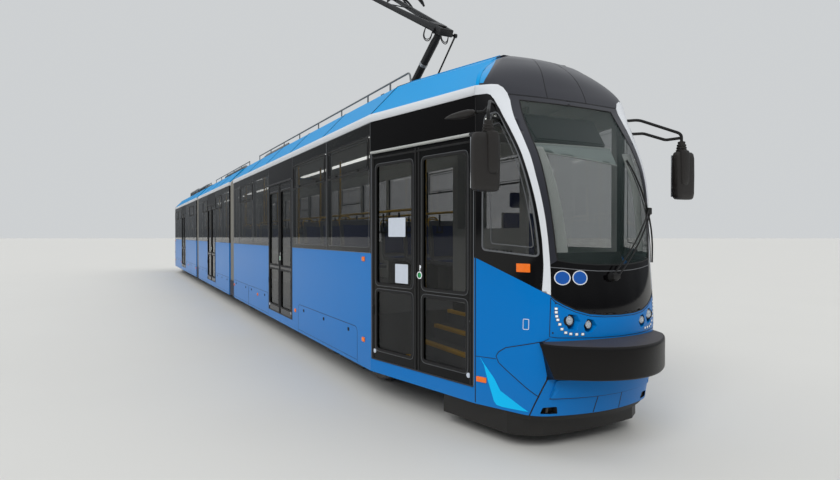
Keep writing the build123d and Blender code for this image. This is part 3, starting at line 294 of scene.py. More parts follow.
SHINE = {"Specular_IOR_Level": 0.1, "Coat_Weight": 0.06, "Coat_Roughness": 0.05}
LENS_FACE = {"grain": 0.5, "grain_size": 220, "Coat_Weight": 0.4}
FINISH_TABLE = {
    # key: material, colour, roughness, mottling, scale of the mottling, and what else it has
    "body": ("body_paint", BODY_BLUE, 0.28, 0.04, 0.7,
             dict(dusty=0.12, dust_top=0.7, rule=wall_rule, **SHINE)),
    "blue": ("blue_paint", BODY_BLUE, 0.28, 0.04, 0.7, dict(dusty=0.1, dust_top=0.7, **SHINE)),
    "sky": ("sky_blue_paint", SKY_BLUE, 0.4, 0.04, 0.9, dict(rule=roof_rule, Specular_IOR_Level=0.1)),
    "sky_plain": ("sky_blue_panel", SKY_BLUE, 0.4, 0.04, 0.9, dict(Specular_IOR_Level=0.1)),
    "flash": ("light_blue_film", "02B9F2", 0.4, 0.03, 2.5, dict(Specular_IOR_Level=0.2)),
    "white": ("white_stripe", STRIPE_WHITE, 0.35, 0.03, 1.5, {}),
    "black": ("gloss_black", GLOSS_BLACK, 0.08, 0.2, 4, dict(Specular_IOR_Level=0.3)),
    "cap": ("cap_grey", CAP_GREY, 0.3, 0.06, 1.5, dict(rule=cap_rule, Coat_Weight=0.15)),
    "rubber": ("black_rubber", "0C0B0C", 0.6, 0.15, 12, dict(grain=0.15, grain_size=400)),
    "gasket": ("grey_gasket", "5B5D60", 0.45, 0.1, 12, dict(grain=0.1, grain_size=300)),
    "plastic": ("black_plastic", "090808", 0.5, 0.1, 8, dict(grain=0.2, grain_size=600, dusty=0.05)),
    "bumper": ("bumper_plastic", "070607", 0.4, 0.12, 5,
               dict(grain=0.2, grain_size=500, dusty=0.03, dust_top=1.2, Specular_IOR_Level=0.25)),
    # The bumper's top: the same plastic made lighter, a painted highlight
    "bumper_top": ("bumper_top", "3A3739", 0.5, 0.08, 5, dict(grain=0.2, grain_size=500)),
    "door": ("door_black", "060606", 0.2, 0.15, 5, dict(Specular_IOR_Level=0.2)),
    "pane": ("tinted_glass", "070908", 0.03, 0.1, 2.5, dict(alpha=0.35, Specular_IOR_Level=0.5)),
    "screen": ("windscreen_glass", "2C3937", 0.02, 0.05, 2.5, dict(alpha=0.22, Specular_IOR_Level=0.45)),
    "amber": ("amber_lens", "EE6F04", 0.25, 0.12, 40, LENS_FACE),
    "red": ("red_lens", "A80E0A", 0.25, 0.12, 40, LENS_FACE),
    "clear": ("clear_lens", "DCE4EA", 0.05, 0.05, 2.5, dict(alpha=0.3, grain=0.4, grain_size=160)),
    "chrome": ("bright_metal", "C9CDD2", 0.12, 0.08, 30, dict(Metallic=0.9)),
    "led": ("led_face", "F4F7FA", 0.3, 0.04, 60, {}),
    "disc": ("blue_disc", "0B4FA0", 0.3, 0.04, 20, {}),
    "green": ("green_button", "0B8F4C", 0.35, 0.08, 60, {}),
    "pale": ("pale_card", "C4CBD6", 0.5, 0.05, 30, {}),
    "yellow": ("step_edge", "D8A60E", 0.6, 0.08, 30, dict(grain=0.3, dusty=0.1)),
    "floor": ("floor_covering", "55565A", 0.6, 0.15, 30, dict(grain=0.2, dusty=0.1)),
    "equipment": ("equipment_grey", "6B6E70", 0.5, 0.12, 4, dict(grain=0.1, dusty=0.5)),
    "dark_case": ("roof_case", "33363A", 0.5, 0.15, 4, dict(grain=0.15)),
    "seat": ("seat_fabric", "1C2F66", 0.85, 0.3, 70, dict(grain=0.4, grain_size=900)),
    "shell": ("seat_shell", "5D6066", 0.45, 0.08, 10, dict(grain=0.1)),
    "pole": ("yellow_pole", "C99F10", 0.3, 0.06, 2.5, {}),
    "trim": ("cab_trim", "2A2B2E", 0.6, 0.12, 10, dict(grain=0.3, rule=partition_rule)),
    "lining": ("cab_lining", "B9BDB9", 0.55, 0.05, 5, {}),
    "blind": ("sun_blind", "A3B0AD", 0.7, 0.05, 30, dict(alpha=0.75)),
    "display": ("blank_display", "15181A", 0.35, 0.1, 30, {}),
    "frame": ("bogie_paint", "2E3033", 0.6, 0.25, 7, dict(grain=0.3, dusty=0.6, dust_top=1.2)),
    "spring": ("spring_steel", "1D1E20", 0.45, 0.2, 14, dict(grain=0.2, dusty=0.3, dust_top=1.2)),
    "wheel": ("wheel_steel", "6E6A66", 0.42, 0.25, 9, dict(dusty=0.4, Metallic=0.85)),
    "bolt": ("bolt_zinc", "8A8C8E", 0.4, 0.15, 60, dict(Metallic=0.8)),
    "housing": ("mirror_grey", "1D1A18", 0.5, 0.12, 8, dict(grain=0.25, grain_size=500)),
    "carbon": ("carbon_grey", "3A3A3E", 0.5, 0.25, 30, {}),
    "pantograph": ("pantograph_black", "121214", 0.45, 0.2, 9, dict(grain=0.1)),
    "clamp": ("pale_alloy", "A9ADB2", 0.35, 0.1, 20, dict(Metallic=0.7)),
    "insulator": ("insulator_red", "6B2A1C", 0.3, 0.1, 20, dict(Coat_Weight=0.4)),
    "bellows": ("bellows_fabric", "86847E", 0.8, 0.12, 14, dict(grain=0.4, grain_size=500, dusty=0.5)),
    "glow": ("ceiling_light", "F2F4F0", 0.5, 0.02, 10, dict(Emission_Strength=2.5)),
    "cover": ("bellows_cover", "0C1B33", 0.5, 0.15, 8, dict(grain=0.2, dusty=0.3)),
    "lamp": ("lamp_bucket", "B9BDC2", 0.25, 0.1, 20, dict(rule=amber_rule)),
}
FINISHES = {key: finish_of(*look, **more) for key, (*look, more) in FINISH_TABLE.items()}
# %% [markdown]
# ## Dressing the solids
# Most solids already have their true shape and only need a finish. A node's name says what it is, so
# a short table from the end of the name to a finish does it. The first entry that fits is used.

# %% Finishes of the carried-over nodes
NODE_FINISH = (
    ("side_walls", "body"), ("windows", "pane"), ("doors", "door"), ("roof", "sky"), ("screen", "screen"),
    ("mask", "black"), ("cap", "cap"), ("valance", "blue"), ("bumper", "bumper"), ("under_skirt", "plastic"),
    ("lamps", "lamp"), ("floor", "floor"), ("equipment", "equipment"), ("seats", "seat"), ("poles", "pole"),
    ("cab_fittings", "trim"), ("mirrors", "plastic"), ("wiper", "plastic"), ("bellows", "bellows"),
    ("bogie_", "frame"), ("wheelset_", "wheel"), ("pantograph_", "pantograph"),
)
for name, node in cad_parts.items():
    finish = next(key for part, key in NODE_FINISH if part in name)
    node.data.materials.clear()
    node.data.materials.append(FINISHES[finish])

# %% [markdown]
# ## Shapes as lists of points and faces
# Every added piece is a mesh. A shape here is only its points and faces, so that shapes can be
# mirrored, moved and added like numbers before Blender sees them. A tram has two alike ends, so one
# call makes a piece for both, each riding on its own section.

# %% Shapes and pieces
class Shape:
    """Points and faces that can be moved, mirrored and joined."""

    def __init__(self, points, faces):
        self.points = np.array(points, float).reshape(-1, 3)
        self.faces = [tuple(face) for face in faces]

    def __add__(self, other):
        return joined((self, other))

    def moved(self, offset):
        return Shape(self.points + np.array(offset), self.faces)

    def mirrored(self, axis):
        flip = np.ones(3)
        flip[axis] = -1
        return Shape(self.points * flip, [face[::-1] for face in self.faces])

    def both(self):
        return self + self.mirrored(1)

    def mesh(self, name):
        made = bpy.data.meshes.new(name)
        made.from_pydata([tuple(point) for point in self.points], [], self.faces)
        return made


def joined(shapes):
    """Many shapes as one."""
    points, faces, count = [], [], 0
    for shape in shapes:
        points.append(shape.points)
        faces += [tuple(i + count for i in face) for face in shape.faces]
        count += len(shape.points)
    return Shape(np.vstack(points), faces)


SHARP = math.radians(35)
MERGE = 1e-5


def shaded(mesh, sharp, merge=0.0):
    """Smooth shading, broken where two faces meet at a sharp angle; merge joins corners that close."""
    bm = bmesh.new()
    bm.from_mesh(mesh)
    if merge:
        bmesh.ops.remove_doubles(bm, verts=bm.verts, dist=merge)
    for face in bm.faces:
        face.smooth = True
    for edge in bm.edges:
        edge.smooth = len(edge.link_faces) != 2 or edge.calc_face_angle() < sharp
    bm.to_mesh(mesh)
    bm.free()


def placed(made, body, replaces=(), slot=None):
    """What a piece stands for and what it rides on; slot is not used."""
    if replaces:
        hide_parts(*replaces)
    if body:
        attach(made, body)
    return made


def piece(name, shape, finish, body, sharp=SHARP, **options):
    """A finished mesh object that rides on a body."""
    mesh = shape.mesh(name)
    shaded(mesh, sharp, MERGE)
    mesh.materials.append(FINISHES[finish])
    return placed(linked(name, mesh), body, **options)


def on_front(name, shape, finish, **options):
    return piece(name, shape, finish, "front_section", **options)


def on_middle(name, shape, finish, **options):
    return piece(name, shape, finish, "middle_section", **options)


def at_ends(name, shape, finish, node=None, **options):
    """The same piece on the front section and, mirrored, on the rear one."""
    for end, sign in ENDS.items():
        here = shape if sign == 1 else shape.mirrored(0)
        standing_for = [f"{end}_{node}"] if node else ()
        piece(f"{end}_{name}", here, finish, f"{end}_section", replaces=standing_for, **options)

# %% [markdown]
# ## Forms that come up again
# Most small parts are one of four forms: a ring of points carried along (a loft), a section turned
# about an axis, a box with soft edges, or a round bar along a path. Soft edges matter, since real
# things have no razor edges and it is the light on a rounded edge that the eye reads as solid.

# %% Lofts, turned parts and soft boxes
HERE = (0, 0, 0)
ASIDE = (0, 1, 0)
UP = (0, 0, 1)


def lofted(rings, closed=False):
    """A skin over rings of points, capped at both ends; closed joins the last ring to the first."""
    rings = np.asarray(rings, float)
    count, size = rings.shape[:2]
    faces = []
    for k in range(count if closed else count - 1):
        n = (k + 1) % count
        for i in range(size):
            j = (i + 1) % size
            faces.append((k * size + i, k * size + j, n * size + j, n * size + i))
    if not closed:
        faces += [tuple(range(size))[::-1], tuple(range((count - 1) * size, count * size))]
    return Shape(rings, faces)


def basis_of(direction):
    """Two unit vectors across a direction, and the direction itself."""
    ahead = Vector(direction).normalized()
    side = ahead.cross(Vector(UP) if abs(ahead.z) < 0.9 else Vector((1, 0, 0))).normalized()
    return np.array(side), np.array(side.cross(ahead)) * -1, np.array(ahead)


def spokes(direction, steps):
    """Unit vectors all round an axis, and the axis itself."""
    side, up, ahead = basis_of(direction)
    turns = np.linspace(0, 2 * math.pi, steps, endpoint=False)
    return np.cos(turns)[:, None] * side + np.sin(turns)[:, None] * up, ahead


def turned(profile, place=HERE, direction=UP, steps=24):
    """A section of (radius, distance) turned about an axis through a place."""
    around, ahead = spokes(direction, steps)
    return lofted([np.array(place) + ahead * far + around * max(radius, 1e-4) for radius, far in profile])


def soft_box(low, high, radius):
    """A box between two corners with every edge rounded."""
    low, high = np.array(low, float), np.array(high, float)
    radius = min(radius, *((high - low) / 2 * 0.98))
    core = (low + radius, high - radius)
    corners = ((1, 1, 0), (0, 1, 90), (0, 0, 180), (1, 0, 270))
    steps = 2
    rings = []
    for end in (0, 1):
        for k in range(steps + 1):
            tilt = math.radians(90 * k / steps - 90 * (1 - end))
            spread, rise = radius * math.cos(tilt), radius * math.sin(tilt)
            turns = [(east, north, math.radians(start + 90 * i / steps))
                     for east, north, start in corners for i in range(steps + 1)]
            rings.append([(core[east][0] + spread * math.cos(turn), core[north][1] + spread * math.sin(turn),
                           core[end][2] + rise) for east, north, turn in turns])
    return lofted(rings)


def turned_box(size, place, radius, yaw=0.0, pitch=0.0):
    """A soft box about its own middle, pitched, turned and put in place."""
    half = np.array(size) / 2
    box = soft_box(-half, half, radius)
    c, s = math.cos(pitch), math.sin(pitch)
    points = box.points @ np.array(((c, 0, s), (0, 1, 0), (-s, 0, c))).T
    c, s = math.cos(yaw), math.sin(yaw)
    points = points @ np.array(((c, -s, 0), (s, c, 0), (0, 0, 1))).T
    return Shape(points + place, box.faces)


def swung(t, start, corner, end):
    """The place at t of the soft bend from start to end that stands for a corner."""
    return (1 - t)**2 * start + 2 * t * (1 - t) * corner + t * t * end


def eased(before, corner, after, radius, steps, share):
    """Points of the soft bend at a corner; it takes at most a share of either side."""
    start, end = (corner + (far - corner).normalized() * min(radius, (far - corner).length * share)
                  for far in (before, after))
    return [swung(step / steps, start, corner, end) for step in range(steps + 1)]


def bent(points, radius, steps=5):
    """A route of straight runs with its corners rounded."""
    route = [Vector(point) for point in points]
    path = [route[0]]
    for before, corner, after in zip(route, route[1:], route[2:]):
        path += eased(before, corner, after, radius, steps, 0.49)
    return [tuple(point) for point in path + [route[-1]]]


# %% [markdown]
# ## Repeats and round bars by Geometry Nodes
# Two node groups do the repeating. One puts a copy of a template on every point of a carrier mesh,
# turned and sized by the carrier's own attributes: bolts, lamps, sheds and folds. The other follows
# edges with a round section: tubes, springs and cables. A copy count or a radius is then one number.
# Each result is turned into a plain mesh, since only plain meshes travel to other programs.

# %% Node groups
def geometry_group(name, inputs, build):
    """A Geometry Nodes group: named inputs, the chain that build makes from them, and the finish."""
    tree = bpy.data.node_groups.new(name, "GeometryNodeTree")
    tree.interface.new_socket("Geometry", in_out="INPUT", socket_type="NodeSocketGeometry")
    for label, kind in {**inputs, "Finish": "NodeSocketMaterial"}.items():
        tree.interface.new_socket(label, in_out="INPUT", socket_type=kind)
    tree.interface.new_socket("Result", in_out="OUTPUT", socket_type="NodeSocketGeometry")
    source = tree.nodes.new("NodeGroupInput")
    given = {socket.name: Value(tree, socket) for socket in source.outputs if socket.name}
    built = build(given["Geometry"], given)
    real = built.node("GeometryNodeRealizeInstances", {"Geometry": built})
    result = real.node("GeometryNodeSetMaterial", {"Geometry": real, "Material": given["Finish"]})
    tree.links.new(result.socket, tree.nodes.new("NodeGroupOutput").inputs[0])
    return tree


def build_copies(carrier, given):
    turn, size = (carrier.node("GeometryNodeInputNamedAttribute", {"Name": label}, data_type="FLOAT_VECTOR")
                  for label in ("turn", "size"))
    template = carrier.node("GeometryNodeObjectInfo", {"Object": given["Template"]}, out="Geometry")
    return carrier.node("GeometryNodeInstanceOnPoints", {"Points": carrier, "Instance": template,
                                                         "Rotation": turn, "Scale": size})


def build_tubes(carrier, given):
    path = carrier.node("GeometryNodeMeshToCurve", {"Mesh": carrier})
    circle = carrier.node("GeometryNodeCurvePrimitiveCircle", {"Radius": given["Radius"],
                                                              "Resolution": given["Sides"]})
    return carrier.node("GeometryNodeCurveToMesh",
                        {"Curve": path, "Profile Curve": circle, "Fill Caps": True})


COPIES = geometry_group("copies", {"Template": "NodeSocketObject"}, build_copies)
TUBES = geometry_group("tubes", {"Radius": "NodeSocketFloat", "Sides": "NodeSocketInt"}, build_tubes)


def evaluated(made):
    """The plain mesh that an object's modifiers make; the object keeps it in their place."""
    graph = bpy.context.evaluated_depsgraph_get()
    made.data = bpy.data.meshes.new_from_object(made.evaluated_get(graph), depsgraph=graph)
    made.modifiers.clear()
    return made.data


def grown(name, carrier, group, inputs, finish, body, **options):
    """Run a node group on a carrier mesh and keep the plain mesh that comes out."""
    made = linked(name, carrier)
    modifier = made.modifiers.new("grow", "NODES")
    modifier.node_group = group
    inputs["Finish"] = FINISHES[finish]
    for item in group.interface.items_tree:
        if item.in_out == "INPUT" and item.name in inputs:
            modifier[item.identifier] = inputs[item.name]
    shaded(evaluated(made), SHARP)
    return placed(made, body, **options)


def copies(name, template, places, finish, body, turns=None, **options):
    """One template on many places, each with its own turn."""
    carrier = bpy.data.meshes.new(name)
    carrier.from_pydata([tuple(place) for place in places], [], [])
    for label, values in (("turn", turns or [(0, 0, 0)] * len(places)), ("size", [(1, 1, 1)] * len(places))):
        attribute = carrier.attributes.new(label, "FLOAT_VECTOR", "POINT")
        attribute.data.foreach_set("vector", np.array(values, float).ravel())
    pattern = bpy.data.objects.new("template", template.mesh("template"))
    made = grown(name, carrier, COPIES, {"Template": pattern}, finish, body, **options)
    bpy.data.objects.remove(pattern)
    return made


def tubes(name, paths, radius, finish, body, sides=8, **options):
    """Round bars along one or more paths."""
    points, edges = [], []
    for path in paths:
        first = len(points)
        points += [tuple(point) for point in path]
        edges += [(k, k + 1) for k in range(first, len(points) - 1)]
    carrier = bpy.data.meshes.new(name)
    carrier.from_pydata(points, edges, [])
    return grown(name, carrier, TUBES, {"Radius": radius, "Sides": sides}, finish, body, **options)


def flipped(points, axis=0):
    """Places mirrored to the rear end, or with axis 1 to the other side."""
    return [tuple(-v if k == axis else v for k, v in enumerate(point)) for point in points]


def copies_at_ends(name, template, places, finish, turns):
    """Copies on both end sections. Both ends get the same template, turned about."""
    copies(f"front_{name}", template, places, finish, "front_section", turns)
    copies(f"rear_{name}", template, flipped(places), finish, "rear_section",
           [(a, -b, -c) for a, b, c in turns])


def tubes_at_ends(name, paths, radius, finish, **options):
    """Round bars on both end sections."""
    tubes(f"front_{name}", paths, radius, finish, "front_section", **options)
    tubes(f"rear_{name}", [flipped(path) for path in paths], radius, finish, "rear_section", **options)


def both_paths(paths):
    """Paths on one side and the same ones on the other side."""
    return list(paths) + [flipped(path, 1) for path in paths]

# %% [markdown]
# ## The cab's skin
# The real nose is moulded in one sweep, then split into panels by paint, seals and shut lines. Its
# surface is a rule here: at each height, a bowed front, a rounded corner and a straight side, read
# from a short table and blended smoothly between its rows. A spot on it is (s, z): s is 0 at the
# middle, 1 at the corner, 2 at the door and grows along the wall, and z is the height. Panels are
# outlines in that flat map, filled with triangles and laid on the surface, so neighbours always meet.

# %% The surface of the cab
REACH = 0.6
CORNER = 0.2
OUTLINES = (
    # height, corner x, corner y, centre x, side x, side y
    (0.30, 13.800, 0.640, 13.940, 13.28, 0.845),
    (0.64, 13.850, 0.650, 14.040, 13.28, 0.845),
    (1.05, 13.870, 0.650, 14.090, 13.28, 0.845),
    (1.48, 13.860, 0.625, 14.040, 13.28, 0.845),
    (2.33, 13.735, 0.690, 13.830, 13.28, 0.845),
    (2.92, 13.420, 0.745, 13.470, 13.28, 0.845),
    (3.00, 13.390, 0.735, 13.440, 13.28, 0.845),
    (3.29, 13.170, 0.500, 13.240, 13.05, 0.555),
    (3.36, 13.090, 0.400, 13.140, 13.02, 0.430),
    (3.40, 13.020, 0.300, 13.050, 13.00, 0.317),
)


def smooth_table(rows, levels):
    """The table's columns at many levels, by cubic pieces that pass through each row."""
    rows = np.array(rows)
    height = rows[:, 0]
    slopes = np.gradient(rows, height, axis=0)
    k = np.clip(np.searchsorted(height, levels, side="right") - 1, 0, len(rows) - 2)
    span = (height[k + 1] - height[k])[:, None]
    t = ((levels - height[k]) / span[:, 0])[:, None]
    return ((2 * t**3 - 3 * t**2 + 1) * rows[k] + (t**3 - 2 * t**2 + t) * span * slopes[k]
            + (3 * t**2 - 2 * t**3) * rows[k + 1] + (t**3 - t**2) * span * slopes[k + 1])


LEVELS = np.linspace(OUTLINES[0][0], OUTLINES[-1][0], 400)
HULL = smooth_table(OUTLINES, LEVELS)


def hull(s, z):
    """Points of the cab's and side wall's surface at (s, z)."""
    s, z = np.broadcast_arrays(np.asarray(s, float), np.asarray(z, float))
    corner_x, corner_y, centre_x, side_x, side_y = (np.interp(z, LEVELS, HULL[:, c]) for c in range(1, 6))

    def plain(u):
        front, along = np.minimum(u, 1), np.maximum(u - 1, 0)
        x = centre_x - (centre_x - corner_x) * front**2 + (side_x - corner_x) * along
        return np.stack((x, corner_y * front + (side_y - corner_y) * along))

    u = np.where(z > STRIPE_Z[1] + 1e-4, np.minimum(np.abs(s), 2), np.abs(s))
    share = np.clip((u - 1 + CORNER) / (2 * CORNER), 0, 1)
    turn = swung(share, *(plain(np.full_like(u, spot)) for spot in (1 - CORNER, 1, 1 + CORNER)))
    x, y = np.where(np.abs(u - 1) < CORNER, turn, plain(np.minimum(u, 2)))
    wall_x = CAB_X - (u - 2) * REACH
    wall_y = HALF - np.maximum(0, wall_x - TAPER_X) * TAPER
    x = np.where(u > 2, wall_x, x)
    y = np.where(u > 2, wall_y, y)
    return np.stack((x, y * np.where(s < 0, -1, 1), z), axis=-1)


def hull_out(s, z, out):
    """Points that stand off the surface by a distance."""
    step = 1e-3
    along = hull(np.add(s, step), z) - hull(np.subtract(s, step), z)
    up = hull(s, np.add(z, step)) - hull(s, np.subtract(z, step))
    normal = np.cross(along, up)
    normal /= np.linalg.norm(normal, axis=-1, keepdims=True)
    return hull(s, z) + normal * np.asarray(out)[..., None]


def wall_s(x):
    """The map's s of a place along the wall."""
    return 2 + (CAB_X - x) / REACH

# %% Filling an outline with triangles
def divided(outline, spacing):
    """A closed outline with points added so that no side is longer than the spacing."""
    points = []
    for (u0, z0), (u1, z1) in zip(outline, outline[1:] + outline[:1]):
        count = max(1, math.ceil(math.hypot((u1 - u0) * REACH, z1 - z0) / spacing))
        points += [(u0 + (u1 - u0) * k / count, z0 + (z1 - z0) * k / count) for k in range(count)]
    return points


def rounded(outline, radii, steps=6):
    """A closed outline with its corners rounded, one radius for all or one for each."""
    if not isinstance(radii, (list, tuple)):
        radii = [radii] * len(outline)
    flat = [Vector((u * REACH, z)) for u, z in outline]
    points = []
    for k, radius in enumerate(radii):
        points += eased(flat[k - 1], flat[k], flat[(k + 1) % len(flat)], radius, steps, 0.5)
    return [(point.x / REACH, point.y) for point in points]


def inside(points, outline):
    """Which points lie within an outline, by counting the sides that a ray crosses."""
    found = np.zeros(len(points), bool)
    x, y = points[:, 0], points[:, 1]
    for (x0, y0), (x1, y1) in zip(outline, outline[1:] + outline[:1]):
        if y0 != y1:
            crossing = ((y0 > y) != (y1 > y)) & (x < (x1 - x0) * (y - y0) / (y1 - y0) + x0)
            found ^= crossing
    return found


def within(points, loops):
    """Which points lie in the first loop and in none of the others."""
    return inside(points, loops[0]) & ~np.any([inside(points, loop) for loop in loops[1:]] or [False], axis=0)


def filled(outline, holes, spacing):
    """Points in the flat map and the triangles between them."""
    loops = [divided(loop, spacing) for loop in (outline, *holes)]
    edge_points = np.array([point for loop in loops for point in loop])
    edges, first = [], 0
    for loop in loops:
        edges += [(first + k, first + (k + 1) % len(loop)) for k in range(len(loop))]
        first += len(loop)
    low, high = edge_points.min(0), edge_points.max(0)
    u, z = np.meshgrid(np.arange(low[0], high[0], spacing / REACH), np.arange(low[1], high[1], spacing))
    u[::2] += spacing / REACH / 2
    grid = np.stack((u.ravel(), z.ravel()), axis=1)
    scale = np.array((REACH, 1))
    grid = grid[within(grid, loops)]
    for chunk in range(0, len(edge_points), 64):
        gap = np.linalg.norm((grid[:, None] - edge_points[None, chunk:chunk + 64]) * scale, axis=2).min(1)
        grid = grid[gap > 0.55 * spacing]
    flat = np.vstack((edge_points, grid)) * scale
    result = delaunay_2d_cdt([Vector(point) for point in flat], edges, [], 0, 1e-6)
    points = np.array([tuple(point) for point in result[0]]) / scale
    triangles = np.array(result[2])
    return points, triangles[within(points[triangles].mean(axis=1), loops)]


def skin(outline, holes=(), out=0.0, thick=0.004, spacing=0.03):
    """A closed panel on the cab's surface: its outer face, its back and its rim."""
    points, triangles = filled(outline, holes, spacing)
    front, back = (hull_out(*points.T, distance) for distance in (out, out - thick))
    count = len(points)
    a, b, c = front[triangles].swapaxes(0, 1)
    ahead = hull_out(*points[triangles[:, 0]].T, out + 0.01) - a
    backward = (np.cross(b - a, c - a) * ahead).sum(1) < 0
    triangles[backward] = triangles[backward][:, ::-1]
    faces = [tuple(t) for t in triangles] + [tuple(count + t[::-1]) for t in triangles]
    seen = {(t[i], t[(i + 1) % 3]): True for t in triangles for i in range(3)}
    faces += [(j, i, count + i, count + j) for i, j in seen if (j, i) not in seen]
    return Shape(np.vstack((front, back)), faces)


def bar(width, out=0.0008, thick=0.0025):
    """The section of a flat strip: places across it and off the surface."""
    return ((-width / 2, out - thick), (-width / 2, out), (width / 2, out), (width / 2, out - thick))


def bead(width, out):
    """The section of a half-round strip."""
    steps = 5
    turns = [math.pi * k / steps for k in range(steps + 1)]
    return [(-width / 2, -0.002)] + [(-width / 2 * math.cos(a), out * math.sin(a)) for a in turns] + [
        (width / 2, -0.002)]


def ribbon(path, section, closed=False, spacing=0.03):
    """A strip of any section on the surface along a path, such as a seam or a seal."""
    path = [np.array(point, float) for point in path]
    fine = []
    for start, end in zip(path, path[1:] + path[:1] if closed else path[1:]):
        count = max(1, math.ceil(np.linalg.norm((end - start) * (REACH, 1)) / spacing))
        fine += [start + (end - start) * i / count for i in range(count)]
    if not closed:
        fine.append(path[-1])
    fine = np.array(fine)
    ahead = np.roll(fine, -1, axis=0) - np.roll(fine, 1, axis=0)
    if not closed:
        ahead[0], ahead[-1] = fine[1] - fine[0], fine[-1] - fine[-2]
    flat = ahead * (REACH, 1)
    flat /= np.linalg.norm(flat, axis=1, keepdims=True)
    aside = np.stack((-flat[:, 1], flat[:, 0]), axis=1) / (REACH, 1)
    rings = [hull_out(*(fine + offset * aside).T, out) for offset, out in section]
    return lofted(np.stack(rings, axis=1), closed=closed)


def wall_box(x0, x1, z0, z1, radius=0.0):
    """A rectangle on the side wall as a closed outline, its corners rounded if asked."""
    outline = [(wall_s(x0), z0), (wall_s(x0), z1), (wall_s(x1), z1), (wall_s(x1), z0)]
    return rounded(outline, radius, steps=4) if radius else outline


def opposed(points):
    """Points of the map on the other side, in the same order."""
    return [(-s, z) for s, z in points]


def standing(points):
    """Places on the surface on both sides, and the turns that lay a template's x along its normal."""
    points = np.array(list(points) + opposed(points))
    places = hull_out(*points.T, 0.0)
    normals = hull_out(*points.T, 0.01) - places
    turns = [(0, -math.atan2(z, math.hypot(x, y)), math.atan2(y, x)) for x, y, z in normals]
    return [tuple(place) for place in places], turns


def grown_outline(points, amount):
    """An outline moved away from its own middle, by a distance along the surface."""
    middle = np.mean(points, axis=0)
    away = (np.array(points) - middle) * (REACH, 1)
    away *= (1 + amount / np.linalg.norm(away, axis=1))[:, None]
    return [tuple(point) for point in middle + away / (REACH, 1)]


def recess(outline, heart, share, spare):
    """A sunk well with its own thickness: its rim on the surface, its floor smaller and about a heart."""
    rim = hull(*np.array(outline).T)
    behind = hull_out(*np.array(grown_outline(outline, spare)).T, -0.004)
    floor = heart + (rim - rim.mean(0)) * share
    under = floor - (0.004, 0, 0) + (floor - floor.mean(0)) * 0.08
    size = len(rim)
    faces = [(a * size + i, a * size + (i + 1) % size, b * size + (i + 1) % size, b * size + i)
             for a, b in ((0, 1), (1, 2), (3, 0)) for i in range(size)]
    faces += [tuple(range(2 * size, 3 * size)), tuple(range(3 * size, 4 * size))[::-1]]
    return Shape(np.vstack((behind, rim, floor, under)), faces)

# %% [markdown]
# ## Panels of the cab
# Read from the photograph, from the outside in: a blue lower body, a gloss black mask under the
# windscreen and round the side window, a white stripe that comes down the pillar from the cornice, a
# grey band beside the glass and the grey cap above. The curves are the short tables below. Where two
# panels meet, they share the same points, so no gap can open between them.

# %% Curves that the panels share
STRIPE_REAR = ((0.987, 1.294), (0.967, 1.50), (0.967, 1.70), (0.988, 2.01), (1.018, 2.33), (1.025, 2.62))
STRIPE_FRONT = ((0.885, 1.267), (0.890, 1.50), (0.898, 1.87), (0.912, 2.20), (0.903, 2.45), (0.872, 2.70))
GLASS_SIDE = ((0.812, 1.60), (0.818, 1.87), (0.813, 2.09), (0.799, 2.33), (0.780, 2.52), (0.740, 2.72))
GLASS_TOP = 2.875
GLASS_FOOT = ((0.80, 1.535), (0.60, 1.512), (0.30, 1.498), (0.0, 1.495))
MASK_FOOT = ((0.885, 1.263), (0.833, 1.231), (0.735, 1.193), (0.611, 1.154), (0.444, 1.122), (0.247, 1.110),
             (0.0, 1.106))
SIDE_RISE = ((0.987, 1.294), (1.152, 1.340), (1.448, 1.410), (1.760, 1.484), (2.0, BELT_Z))
STRIPE_TURN = ((1.055, 2.78), (1.12, 2.865), (1.22, 2.905), (1.40, STRIPE_Z[0]))
STRIPE_OUTER = ((0.830, 2.86), (0.845, 2.925), (0.895, 2.975), (0.98, STRIPE_Z[1]))
VALANCE_TOP = 0.63
SEAM = ((1.072, OUTLINES[0][0]), (0.888, 0.60), (0.888, VALANCE_TOP))
CAB_WINDOW = ((1.885, 1.61), (1.870, 2.11), (1.79, 2.58), (1.66, 2.735), (1.12, 2.75), (1.075, 2.33),
              (1.045, 2.01), (1.02, 1.565))
HEXES = (
    ((0.730, 1.062), (0.689, 1.120), (0.599, 1.115), (0.552, 1.061), (0.595, 0.992), (0.685, 1.0)),
    ((0.516, 1.029), (0.469, 1.083), (0.394, 1.073), (0.354, 1.026), (0.415, 0.973), (0.490, 0.982)),
)


def other_side(points):
    """The same points on the other side, in the opposite order."""
    return opposed(points)[::-1]


def across(points):
    """Points from the left corner to the right one through the middle, from those on one side."""
    return list(points) + other_side(points[:-1] if points[-1][0] == 0 else points)


# %% Painted panels
foot_z = OUTLINES[0][0]
blue = [(2.0, foot_z), *reversed(SIDE_RISE), *across(MASK_FOOT), *opposed(SIDE_RISE), (-2.0, foot_z),
        *opposed(SEAM), *reversed(SEAM)]
mask = [*across(MASK_FOOT), *opposed(STRIPE_FRONT[:2]), *opposed(GLASS_FOOT[:-1]), *reversed(GLASS_FOOT),
        STRIPE_FRONT[1]]
pillar = [STRIPE_FRONT[1], GLASS_FOOT[0], *GLASS_SIDE, (0.70, GLASS_TOP), (0.0, GLASS_TOP), (0.0, 2.923),
          (0.835, 2.923), *STRIPE_OUTER[:1], *reversed(STRIPE_FRONT[2:])]
stripe_end = wall_s(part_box("front_side_walls")[0].x)
stripe = [*STRIPE_REAR, *STRIPE_TURN, (2.0, STRIPE_Z[0]), (2.0, STRIPE_Z[1]), *reversed(STRIPE_OUTER),
          *reversed(STRIPE_FRONT)]
window = rounded(CAB_WINDOW, [0.04, 0.2, 0.1, 0.08, 0.06, 0.2, 0.2, 0.04])
